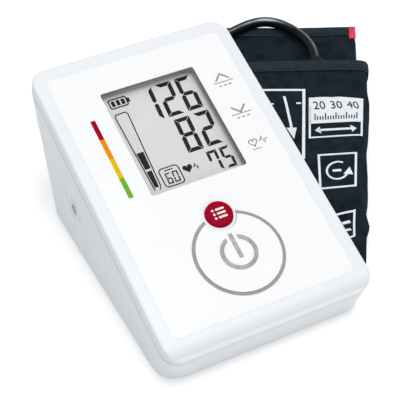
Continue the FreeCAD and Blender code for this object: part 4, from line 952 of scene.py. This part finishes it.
white = block(field(LABEL, [(0, 0), (1, 0), (1, LABEL_SPLIT), (0, LABEL_SPLIT)]))
for corners, width in ((LABEL, 1.0), (PICTURE, 1.5), (SIGN, 1.1), (SMALL, 1.0)):
    white += line(field(corners, FULL), width, True)
low_left, low_right = across_quad(LABEL, 0.1, 0.83), across_quad(LABEL, 0.9, 0.83)
span = low_right - low_left
white += line([low_left + span * 0.08, low_right - span * 0.08], 1.5)
side = Vector((-span.y, span.x)).normalized() * 2.6
for tip, reach in ((low_left, span * 0.13), (low_right, span * -0.13)):
    white += block([tip, tip + reach + side, tip + reach - side])
wrap = arc((0, 0), 1, 60, 330, 18)
strokes = (
    (PICTURE, [(0.62, 0.10), (0.62, 0.62)], 1.3),
    (PICTURE, [(0.20, 0.22), (0.36, 0.22)], 1.2),
    (PICTURE, [(0.84, 0.22), (0.94, 0.22)], 1.2),
    (SIGN, [(0.5 + 0.30 * x, 0.5 - 0.26 * y) for x, y in wrap], 1.0),
    (SIGN, [(0.36, 0.5), (0.60, 0.5)], 1.6),
    (SMALL, [(0.25, 0.33), (0.75, 0.33)], 1.6),
    (SMALL, [(0.25, 0.66), (0.75, 0.66)], 1.6),
)
for corners, path, width in strokes:
    white += line(field(corners, path), width)
white += block(field(PICTURE, [(0.62, 0.74), (0.46, 0.58), (0.78, 0.58)]))
white += block(field(SIGN, [(0.83, 0.42), (0.66, 0.62), (0.93, 0.66)]))
ink_piece("cuff_print", white, on_sleeve(INK_LIFT), white_ink, cell=CELL)
print("white tiles on the cuff:", len(white))

# %% [markdown]
# ## The label's scale
# On the white half of the label a dark scale is printed over the white, as a second colour is on the
# real cuff: ticks, every fourth one taller, and plain numbers above them.

# %% Scale on the cuff's label
dark = []
for step in range(17):
    share = 0.1 + 0.8 * step / 16
    tall = 0.16 if step % 4 == 0 else 0.09
    dark += line(field(LABEL, [(share, 0.58), (share, 0.58 - tall)]), 0.55)
label_way = across_quad(LABEL, 1, 0.25) - across_quad(LABEL, 0, 0.25)
for number, share in (("20", 0.18), ("30", 0.5), ("40", 0.82)):
    dark += numerals(number, across_quad(LABEL, share, 0.22), 6.2, label_way)
ink_piece("label_scale", dark, on_sleeve(0.06 + INK_THICK), dark_ink, cell=CELL)
print("dark tiles on the label:", len(dark))

# %% [markdown]
# ## Prints on the panel
# The panel is a white film that slopes up to the back. Its marks are drawn flat here, and one small
# function turns a point of the panel by the slope and lifts it to its height.

# %% Panel frame
SLOPE = math.radians(18.5)
PANEL_HEIGHT = 46.0


def on_panel(depth):
    """Carries a flat point of the panel to the world, at a height over the panel's face."""

    def place(x, y):
        back = y * math.cos(SLOPE) - depth * math.sin(SLOPE)
        rise = y * math.sin(SLOPE) + depth * math.cos(SLOPE)
        return Vector((x, back, PANEL_HEIGHT + rise))

    return place


print("slope of the panel in degrees:", round(math.degrees(SLOPE), 1))


# %% [markdown]
# ## The colour bar
# Beside the window a bar in four colours, from green for a good reading up to red, tells the user at
# a glance how high a reading is. Each field is its own ink, as in screen printing.

# %% Colour bar
BAR_LEFT, BAR_RIGHT = -32.6, -30.4
BAR_TOP, BAR_FOOT = 40.6, -0.9
BAR_TONES = {
    "bar_red": ((0.31, 0.0, 0.014), (0.37, 0.0, 0.02)),
    "bar_orange": ((0.78, 0.25, 0.0), (0.86, 0.29, 0.0)),
    "bar_yellow": ((0.81, 0.45, 0.0), (0.88, 0.51, 0.0)),
    "bar_green": ((0.145, 0.42, 0.014), (0.17, 0.47, 0.02)),
}
BAR_STEP = (BAR_TOP - BAR_FOOT) / len(BAR_TONES)
for index, (name, (low, high)) in enumerate(BAR_TONES.items()):
    top = BAR_TOP - index * BAR_STEP
    ink = moulded(name + "_ink", low, high, (0.35, 0.5), 0.3, 0.004, 2.0, gloss=0.03)
    foot = top - BAR_STEP
    corners = [(BAR_LEFT, top), (BAR_RIGHT, top), (BAR_RIGHT, foot), (BAR_LEFT, foot)]
    ink_piece(name, block(corners), on_panel(0.0), ink)
print("bar fields:", len(BAR_TONES), "each", round(BAR_STEP, 1), "mm long")

# %% [markdown]
# ## Signs beside the window
# Three small grey signs say what each row of the display shows: a peak for the upper pressure, a dip
# for the lower one and a heart with its beat for the pulse. Dashes stand for the units.

# %% Signs beside the window
SIGN_LEFT, SIGN_RIGHT = 28.4, 38.2
SIGN_MIDDLE = (SIGN_LEFT + SIGN_RIGHT) / 2
HEART_STEPS = 24


def heart(x, y, width):
    """Outline of a heart with its middle at a point."""
    outline = []
    for step in range(HEART_STEPS):
        t = 2 * math.pi * step / HEART_STEPS
        across = math.sin(t) ** 3
        rise = (13 * math.cos(t) - 5 * math.cos(2 * t) - 2 * math.cos(3 * t) - math.cos(4 * t)) / 16
        outline.append((x + across * width / 2, y + rise * width / 2))
    return outline


grey_marks = []
for level, way in ((42.6, 1), (24.2, -1)):
    foot, tip = level - 1.5 * way, level + 1.9 * way
    peak = [(SIGN_MIDDLE - 3.4, foot), (SIGN_MIDDLE, tip), (SIGN_MIDDLE + 3.4, foot)]
    grey_marks += line(peak, 0.75)
    grey_marks += line([(SIGN_LEFT, level - 2.6), (SIGN_RIGHT, level - 2.6)], 0.35)
    for middle in (SIGN_MIDDLE - 2.4, SIGN_MIDDLE, SIGN_MIDDLE + 2.4):
        grey_marks += line([(middle - 0.7, level - 4.6), (middle + 0.7, level - 4.6)], 0.5)
grey_marks += line(heart(SIGN_LEFT + 2.6, 5.6, 4.0), 0.45, True)
beat = [(5.4, 5.6), (6.4, 5.6), (7.1, 7.4), (7.9, 3.9), (8.6, 5.6), (SIGN_RIGHT - SIGN_LEFT, 5.6)]
grey_marks += line([(SIGN_LEFT + x, y) for x, y in beat], 0.4)
for middle in (SIGN_LEFT + 1.4, SIGN_LEFT + 2.9, SIGN_LEFT + 4.4):
    grey_marks += line([(middle - 0.5, 2.0), (middle + 0.5, 2.0)], 0.45)
FILM_INK = {"rough": (0.35, 0.5), "grain": 0.3, "depth": 0.004, "patch": 3.0, "gloss": 0.15}
grey_ink = moulded("grey_ink", (0.24, 0.24, 0.235), (0.30, 0.30, 0.295), **FILM_INK)
ink_piece("panel_signs", grey_marks, on_panel(0.0), grey_ink)
print("grey tiles:", len(grey_marks))

# %% [markdown]
# ## Painted shade round the window
# The window sits a few millimetres below the panel, and the wall of that opening is lined with a
# thin grey strip whose tone is painted shade. It is darkest at the top and pales towards the window,
# as the shade in the recess does: a ramp along the wall's height does that.

# %% Window recess shade
WINDOW = (-22.86, -3.36, 23.36, 52.56)
RECESS_TOP, RECESS_FOOT = -0.35, -3.12
# Painted shade of the strip: pale at the window, dark at the panel
RECESS_SHADE_TONES = ((0.0, (0.46, 0.46, 0.46)), (1.0, (0.10, 0.10, 0.10)))


def recess_shade_finish(name):
    """Grey strip in painted shade: dark near the panel and paler near the window."""
    paint, tree, shader = new_finish(name)
    axes = node(tree, "SeparateXYZ", {"Vector": place_of(tree, Rotation=(-SLOPE, 0, 0))})
    panel_middle = PANEL_HEIGHT * math.cos(SLOPE)
    low, high = (panel_middle + RECESS_FOOT) * MM, (panel_middle + RECESS_TOP) * MM
    height = node(tree, "MapRange", {"Value": axes.outputs["Z"], "From Min": low, "From Max": high})
    tint(tree, height.outputs["Result"], shader, *RECESS_SHADE_TONES)
    dull(tree, clouds(tree, 0.4), shader, 0.6, 0.8)
    shader.inputs["Specular IOR Level"].default_value = 0.1
    return paint


recess_outline = rounded(*WINDOW, 1.15)
recess_spots = [on_panel(depth)(x, y) for depth in (RECESS_TOP, RECESS_FOOT) for x, y in recess_outline]
recess_faces = tube(2, len(recess_outline))
recess_shade_strip = mesh_piece("recess_shade_strip", recess_spots, recess_faces, recess_shade_finish("recess_painted_shade"))
thicken(recess_shade_strip, 0.08, 0.0)
print("seal faces:", len(recess_faces))

# %% [markdown]
# ## The display
# A liquid crystal display lights no segment: it darkens them over a grey mirror, so its marks are
# nearly black and lie just above the grey. Each number is seven short bars, mitred where they meet,
# set with a slight lean. Three bars are drawn and mirrored, and a table says which a number uses.

# %% Number bars
NUMBER_BARS = {
    "0": "abcdef", "1": "bc", "2": "abdeg", "3": "abcdg", "4": "bcfg",
    "5": "acdfg", "6": "acdefg", "7": "abcf", "8": "abcdefg", "9": "abcdfg",
}
LEAN = 0.055
LCD_DEPTH = -4.58


def number_tiles(number, left, foot, width, height, thick):
    """Tiles of one number in a box, leaning to the right."""
    gap, half = thick * 0.09, thick / 2
    w, h = width / 2, height / 2
    inner = w - thick
    flat = [(gap - w, h), (w - gap, h), (inner - gap, h - thick), (gap - inner, h - thick)]
    upright = [(w, h - gap), (w, half + gap), (w - half, gap), (inner, half + gap), (inner, h - thick - gap)]
    centre = [(half + gap - w, 0), (gap - inner, half), (inner - gap, half)]
    centre += [(-x, -y) for x, y in centre]
    bars = {
        "a": (flat, 1, 1),
        "b": (upright, 1, 1),
        "c": (upright, 1, -1),
        "d": (flat, 1, -1),
        "e": (upright, -1, -1),
        "f": (upright, -1, 1),
        "g": (centre, 1, 1),
    }
    made = []
    for letter in NUMBER_BARS[number]:
        corners, side, way = bars[letter]
        spots = [(w + side * x, h + way * y) for x, y in corners]
        made.append([Vector((left + x + LEAN * y, foot + y)) for x, y in spots])
    return made


lcd_marks = []
for text, right, foot, width, height, pitch, thick in (
    ("126", 20.6, 33.4, 7.6, 18.2, 9.7, 1.95),
    ("82", 20.6, 13.1, 7.6, 18.2, 9.7, 1.95),
    ("75", 21.2, -0.1, 4.9, 10.9, 6.4, 1.3),
    ("60", -5.9, 1.6, 2.6, 5.6, 3.35, 0.6),
):
    for index, number in enumerate(reversed(text)):
        left = right - width - index * pitch
        lcd_marks += number_tiles(number, left, foot, width, height, thick)
print("number bars:", len(lcd_marks))

# %% [markdown]
# ## Signs on the display
# Down the left side a slim column fills with blocks as the pressure rises. Above it is a battery,
# and beside its foot a framed number for the record being shown, and a heart that beats.

# %% Display signs
column = [(-18.9, 1.0), (-19.7, 41.4), (-18.9, 42.7), (-14.4, 42.9)]
column += [(-13.5, 41.8), (-15.6, 2.2), (-16.6, 0.6)]
lcd_marks += line(column, 0.5)
lcd_marks += block([(-18.7, 20.9), (-15.4, 20.9), (-15.9, 12.0), (-18.5, 12.0)])
lcd_marks += block([(-18.5, 10.8), (-16.0, 10.8), (-16.5, 2.2), (-18.3, 2.2)])
lcd_marks += line(rounded(-13.5, 0.4, -4.3, 9.9, 1.6), 0.5, True)
lcd_marks += line([(-11.0, 8.5), (-7.0, 8.5)], 0.5)
lcd_marks += block(heart(-0.6, 6.2, 4.6))
lcd_marks += line([(2.0, 6.0), (2.7, 6.0), (3.2, 7.4), (3.8, 4.6), (4.3, 6.0)], 0.4)
lcd_marks += line(rounded(-19.4, 46.2, -11.0, 50.9, 0.7), 0.6, True)
lcd_marks += block([(-10.7, 47.4), (-9.6, 47.4), (-9.6, 49.7), (-10.7, 49.7)])
for left, right in ((-18.4, -16.8), (-16.0, -14.4), (-13.6, -12.0)):
    lcd_marks += block([(left, 47.1), (right, 47.1), (right, 50.0), (left, 50.0)])
LCD_TONES = ((0.018, 0.014, 0.012), (0.026, 0.020, 0.018))
LCD_THICK = 0.08
lcd_ink = moulded("lcd_dark", *LCD_TONES, (0.4, 0.5), 0.3, 0.002, 4.0, gloss=0.05)
lcd_print = ink_piece("lcd_marks", lcd_marks, on_panel(LCD_DEPTH), lcd_ink)
lcd_print.modifiers["thickness"].thickness = LCD_THICK * MM
print("display tiles:", len(lcd_marks))

# %% [markdown]
# ## The sign on the memory key
# The red key calls up past readings. Its white sign is a short list, three lines with a dot before
# each, printed on the key's top, so it rides on the key and goes down with it.

# %% Memory key sign
KEY_MIDDLE = (0.0, -22.0)
KEY_TOP = 1.5
key_marks = []
for level in (1.95, 0.0, -1.95):
    x, y = KEY_MIDDLE[0], KEY_MIDDLE[1] + level
    key_marks += line([(x - 1.1, y), (x + 2.9, y)], 0.95)
    key_marks += block(arc((x - 2.5, y), 0.56, 0, 345, 15))
KEY_TONES = ((0.80, 0.80, 0.80), (0.87, 0.87, 0.87))
key_white = moulded("key_white_ink", *KEY_TONES, (0.3, 0.4), 0.3, 0.003, 2.0, gloss=0.2)
ink_piece("memory_sign", key_marks, on_panel(KEY_TOP), key_white, body="memory_key")
print("key sign tiles:", len(key_marks))

# %% [markdown]
# ## Inside the adapter inlet
# The round inlet in the left wall takes the plug of a mains adapter. Its bore is lined in grey, with
# a plated sleeve on the pin, a bead runs round its collar, and two short ribs moulded beside it show
# how the plug is polarised. Rings turned about the bore's axis make the lining, the sleeve and bead.

# %% Inlet
INLET = Vector((-49.05, 23.5, 26.0))


def turned_piece(name, profile, paint, steps=32):
    """Skin turned about the inlet's axis from points given as (depth, radius)."""
    spots = []
    for depth, radius in profile:
        for step in range(steps):
            angle = 2 * math.pi * step / steps
            spots.append(INLET + Vector((depth, radius * math.cos(angle), radius * math.sin(angle))))
    mesh_piece(name, spots, tube(len(profile), steps), paint)


LINING = [(0.35, 2.78), (0.5, 2.6), (8.4, 2.6), (8.6, 2.4), (8.6, 1.15)]
PIN_SLEEVE = [(2.75, 0.2), (2.75, 0.9), (2.95, 1.05), (8.5, 1.05)]
liner_grey = moulded("inlet_grey", (0.55, 0.54, 0.52), (0.66, 0.65, 0.63), (0.4, 0.55), 0.3, 0.004, 2.0)
plated = moulded("plated_pin", (0.55, 0.54, 0.50), (0.68, 0.66, 0.62), (0.2, 0.35), 0.2, 0.002, 1.5, 1.0)
turned_piece("inlet_lining", LINING, liner_grey)
turned_piece("inlet_sleeve", PIN_SLEEVE, plated)
print("inlet pieces about an axis at", [round(c, 2) for c in INLET])

# %% [markdown]
# ## White housing
# The two halves of the housing are moulded in white ABS with a satin face, faintly cool in tone. The
# panel on top is a smoother, brighter film. The difference is small, and it is what lets the rim
# read against the panel. The inlet's bead and ribs are part of the lower half and share its finish.

# %% Housing finishes
SHELL_TONES = ((0.785, 0.808, 0.832), (0.812, 0.832, 0.852))
FILM_TONES = ((0.885, 0.885, 0.885), (0.905, 0.905, 0.905))
WALL_X = -48.75
shell_white = moulded("shell_white", *SHELL_TONES, (0.34, 0.42), 0.4, 0.003, 30.0)
panel_film = moulded("panel_film", *FILM_TONES, (0.30, 0.36), 0.6, 0.0015, 40.0, gloss=0.25)


def wall_rib(name, spots, size):
    """Low rib on the left wall, half round across, along points given as (y, z)."""
    ring = [(x, y * 0.6) for x, y in arc((0, 0), size, 0, 180, 6)]
    points = [Vector(spot) for spot in spots]
    along = (points[-1] - points[0]).normalized()
    side = Vector((-along.y, along.x))
    shell = []
    for spot in points:
        for across, out in ring:
            y, z = spot + side * across
            shell.append((WALL_X - out, y, z))
    count = len(ring)
    faces = tiles(count - 1, len(points) - 1)
    faces.append(tuple(range(count)))
    faces.append(tuple(range(len(shell) - count, len(shell))))
    mesh_piece(name, shell, faces, shell_white)


bead = [(0.4 - 0.8 * y, 5.3 - 0.6 * x) for x, y in arc((0, 0), 1, 0, 180, 8)]
turned_piece("inlet_bead", bead, shell_white, 48)
wall_rib("inlet_rib_back", [(31.6, 25.6), (31.4, 30.6)], 0.5)
wall_rib("inlet_rib_front", [(16.6, 22.4), (15.6, 27.4)], 0.5)
print("housing finishes:", shell_white.name, panel_film.name)

# %% [markdown]
# ## The parting line
# The cover's lower edge is chamfered, so a fine groove runs round the housing where its halves meet.
# A thin near-black strip is laid in the groove, from one front corner round the back to the other; its
# colour is painted shade, standing in for the shadow in the gap. In front the scooped cover hides the joint.

# %% Parting line
HOUSING_HALF = 49.0
HOUSING_FRONT, HOUSING_BACK = -76.15, 73.95
HOUSING_CORNER = 8.0
SHADOW_STRIP_SECTION = [(0.34, -6.17), (0.08, -6.17), (0.08, -5.83), (0.34, -6.0)]
TURN_STEPS = 8

shadow_strip_corners = [
    (-1, HOUSING_FRONT + HOUSING_CORNER, 225, 180),
    (-1, HOUSING_BACK - HOUSING_CORNER, 180, 90),
    (1, HOUSING_BACK - HOUSING_CORNER, 90, 0),
    (1, HOUSING_FRONT + HOUSING_CORNER, 0, -45),
]
shadow_strip_spots = []
for side, y, first, last in shadow_strip_corners:
    x = side * (HOUSING_HALF - HOUSING_CORNER)
    for step in range(TURN_STEPS + 1):
        angle = math.radians(first + (last - first) * step / TURN_STEPS)
        for inset, depth in SHADOW_STRIP_SECTION:
            reach = HOUSING_CORNER - inset
            shadow_strip_spots.append(on_panel(depth)(x + reach * math.cos(angle), y + reach * math.sin(angle)))
shadow_strip_faces = tube(len(shadow_strip_spots) // 4, 4)
shadow_strip_faces += [(0, 1, 2, 3), tuple(range(len(shadow_strip_spots) - 4, len(shadow_strip_spots)))]
# Painted shade: the strip's near-black tones stand for the shadow in the groove
SEAM_SHADE_TONES = ((0.045, 0.047, 0.05), (0.065, 0.067, 0.07))
seam_shade_finish = moulded("seam_shade_finish", *SEAM_SHADE_TONES, (0.5, 0.65), 0.4, 0.004, 12.0, gloss=0.1)
seam_shadow_strip = mesh_piece("seam_shadow_strip", shadow_strip_spots, shadow_strip_faces, seam_shade_finish)
seam_shadow_strip.data.shade_flat()
print("lip points:", len(shadow_strip_spots))

# %% [markdown]
# ## Keys, ring and window
# The memory key is a glossy red cap. The ring round the start key is a grey ink, and the power sign on
# that key is a silvery foil: foil is only partly metal to the eye, so its shader is too. The window is
# clear acrylic over the grey display, mostly see-through, with a polished face that mirrors the room.

# %% Key and window finishes
KEY_FINISHES = {
    "red_key": ((0.31, 0.0, 0.014), (0.37, 0.0, 0.02), (0.22, 0.32), 0.5, 0.002, 6.0, 0.0, 0.02),
    "grey_print": ((0.29, 0.29, 0.28), (0.34, 0.34, 0.33), (0.35, 0.5), 0.3, 0.004, 3.0, 0.0, 0.15),
    "bright_metal": ((0.22, 0.22, 0.215), (0.33, 0.33, 0.325), (0.3, 0.45), 0.4, 0.003, 4.0, 0.3, 0.2),
    "lcd_grey": ((0.79, 0.79, 0.785), (0.83, 0.83, 0.825), (0.45, 0.55), 0.4, 0.001, 20.0),
    "clear_window": ((0.010, 0.012, 0.012), (0.014, 0.016, 0.016), (0.04, 0.09), 3.0, 0.001, 25.0),
}
CLEARNESS = 0.05
finishes = {slot: moulded(slot, *row) for slot, row in KEY_FINISHES.items()}
acrylic = finishes["clear_window"].node_tree.nodes["Principled BSDF"]
acrylic.inputs["Alpha"].default_value = CLEARNESS
print("key and window finishes:", list(finishes))

# %% [markdown]
# ## Rubber, black plastic and inner parts
# Feet, plug and tie are black or grey. Inside the housing, seen only when the battery lid is open or
# the parts are taken out one by one, are plated steel, a green board, a brass pin and four cells
# with a printed sleeve. Drawn steel has fine lines along it, so its pattern is stretched; the cells'
# sleeve changes colour along its length, so a ramp follows their axis.

# %% Inner finishes
INNER_FINISHES = {
    "black_rubber": ((0.006, 0.009, 0.012), (0.012, 0.016, 0.020), (0.45, 0.6), 0.5, 0.01, 5.0, 0.0, 0.06),
    "soft_tube": ((0.52, 0.55, 0.55), (0.62, 0.64, 0.64), (0.3, 0.45), 0.6, 0.006, 5.0),
    "black_plastic": ((0.011, 0.012, 0.013), (0.020, 0.021, 0.023), (0.35, 0.5), 0.3, 0.006, 5.0, 0.0, 0.25),
    "grey_frame": ((0.55, 0.56, 0.57), (0.63, 0.64, 0.65), (0.4, 0.5), 0.35, 0.006, 10.0),
    "key_plastic": ((0.32, 0.32, 0.30), (0.39, 0.39, 0.37), (0.4, 0.5), 0.3, 0.005, 4.0),
    "sensor_plastic": ((0.58, 0.56, 0.48), (0.66, 0.64, 0.56), (0.4, 0.55), 0.3, 0.005, 4.0),
    "brass_pin": ((0.55, 0.36, 0.09), (0.66, 0.46, 0.15), (0.22, 0.38), 0.3, 0.003, 2.0, 1.0),
}
CELL_FOOT, CELL_END = -0.0244, 0.0261
CELL_TONES = ((0.0, (0.02, 0.045, 0.11)), (0.72, (0.55, 0.27, 0.10)))


def drawn_steel(name):
    """Plated sheet: fine lines along the world's x, in tone, gloss and relief."""
    paint, tree, shader = new_finish(name)
    drawn = clouds(tree, 0.25, (12, 1, 1))
    tint(tree, drawn, shader, (0.3, (0.42, 0.43, 0.44)), (0.7, (0.60, 0.61, 0.62)))
    dull(tree, drawn, shader, 0.25, 0.45)
    relief(tree, drawn, shader, 0.004)
    shader.inputs["Metallic"].default_value = 1.0
    return paint


def circuit(name):
    """Green board: square copper tracks under a glossy mask."""
    paint, tree, shader = new_finish(name)
    greens = {
        "Color1": (0.012, 0.13, 0.05, 1),
        "Color2": (0.018, 0.17, 0.065, 1),
        "Mortar": (0.05, 0.26, 0.10, 1),
    }
    where = node(tree, "TexCoord").outputs["Object"]
    tracks = node(tree, "TexBrick", {"Vector": where, "Scale": 60.0, **greens})
    tree.links.new(tracks.outputs["Color"], shader.inputs["Base Color"])
    dull(tree, clouds(tree, 3.0), shader, 0.25, 0.4)
    relief(tree, tracks.outputs["Fac"], shader, 0.03)
    return paint


def cell_sleeve(name):
    """Printed sleeve: a dark field with a copper band near one end of the cells."""
    paint, tree, shader = new_finish(name)
    where = node(tree, "TexCoord").outputs["Object"]
    length = node(tree, "SeparateXYZ", {"Vector": where}).outputs["Y"]
    along = node(tree, "MapRange", {"Value": length, "From Min": CELL_FOOT, "From Max": CELL_END})
    tint(tree, along.outputs["Result"], shader, *CELL_TONES).interpolation = "CONSTANT"
    dull(tree, clouds(tree, 2.0), shader, 0.25, 0.4)
    return paint


finishes.update({slot: moulded(slot, *row) for slot, row in INNER_FINISHES.items()})
finishes["steel"] = drawn_steel("drawn_steel")
finishes["board_green"] = circuit("board_green")
finishes["cell_sleeve"] = cell_sleeve("cell_sleeve")
print("finishes so far:", len(finishes))

# %% [markdown]
# ## Dressing the solids
# Every solid names a finish in the record. The housing, rubber and cloth made further up join the
# others under those names, and each solid takes its own. Smooth shading with edges kept sharp above a
# set angle makes round faces round and leaves the edges of the mould crisp.

# %% Dress every solid
finishes["white_shell"] = shell_white
finishes["white_panel"] = panel_film
finishes["grey_rubber"] = grey_rubber
finishes["dark_cloth"] = twill
finishes["hem_cloth"] = tape
finishes["red_cloth"] = tab_ribbon
SHARP_FROM = math.radians(32)
for row in frame["record"]["subparts"]:
    solid = frame["nodes"][row["node"]]
    solid.data.materials.clear()
    solid.data.materials.append(finishes[row["material_slot"]])
    solid.data.shade_smooth()
    solid.data.set_sharp_from_angle(angle=SHARP_FROM)

# %% [markdown]
# ## Floor and light
# The monitor is shown on plain white. The floor takes a real shadow, and it glows a little only for
# the camera and for reflections, so that it reads as white without more light on the object.

# %% Floor
FLOOR_SIZE = 6.0
FLOOR_GLOW = 0.42
FLOOR_DROP = 0.0001


def seen_only(tree):
    """Number that is 1 for rays from the camera, a gloss or a clear piece, and 0 for light bounces."""
    path = node(tree, "LightPath")
    total = path.outputs["Is Camera Ray"]
    for name in ("Is Glossy Ray", "Is Transmission Ray"):
        total = node(tree, "Math", {0: total, 1: path.outputs[name]}, operation="MAXIMUM").outputs[0]
    return total


half = FLOOR_SIZE / 2
floor_corners = [(-half, -half, 0), (half, -half, 0), (half, half, 0), (-half, half, 0)]
floor_mesh = bpy.data.meshes.new("floor")
floor_mesh.from_pydata(floor_corners, [], [(0, 1, 2, 3)])
floor = bpy.data.objects.new("floor", floor_mesh)
floor.location.z = -FLOOR_DROP
scene.collection.objects.link(floor)
floor_paint = bpy.data.materials.new("white_floor")
floor_paint.use_nodes = True
tree = floor_paint.node_tree
tree.nodes.clear()
matt = node(tree, "BsdfDiffuse", {"Color": (0.8, 0.8, 0.8, 1)}).outputs[0]
strength = node(tree, "Math", {0: seen_only(tree), 1: FLOOR_GLOW}, operation="MULTIPLY").outputs[0]
glow = node(tree, "Emission", {"Strength": strength}).outputs[0]
both = node(tree, "AddShader", {0: matt, 1: glow}).outputs[0]
node(tree, "OutputMaterial", {"Surface": both})
floor_mesh.materials.append(floor_paint)
print("floor glow:", FLOOR_GLOW)

# %% [markdown]
# ## Room and lamps
# A white room gives even light from all sides. A soft box above makes the shadow, and a weaker one in
# front lifts the near wall, as a card does in a studio.

# %% World and lamp
ROOM_LIGHT = 0.63
LAMP_POWER = 3.6
FILL_POWER = 1.2
world = bpy.data.worlds.new("studio")
scene.world = world
world.use_nodes = True
tree = world.node_tree
tree.nodes.clear()
room = node(tree, "Background", {"Color": (0.96, 0.98, 1.0, 1), "Strength": ROOM_LIGHT}).outputs[0]
plain = node(tree, "Background", {"Color": (1, 1, 1, 1), "Strength": 1.0}).outputs[0]
mix = node(tree, "MixShader", {0: seen_only(tree), 1: room, 2: plain}).outputs[0]
node(tree, "OutputWorld", {"Surface": mix})


def soft_lamp(name, place, target, size, power):
    """Square soft box at a place, turned towards a target, both in metres."""
    data = bpy.data.lights.new(name, "AREA")
    data.size = size
    data.energy = power
    lamp = bpy.data.objects.new(name, data)
    lamp.location = place
    lamp.rotation_euler = (Vector(target) - Vector(place)).to_track_quat("-Z", "Y").to_euler()
    scene.collection.objects.link(lamp)


soft_lamp("top_box", (0.10, -0.08, 0.95), (0.03, 0.03, 0.03), 0.5, LAMP_POWER)
soft_lamp("front_fill", (0.0, -0.9, 0.14), (0.0, 0.0, 0.03), 0.6, FILL_POWER)
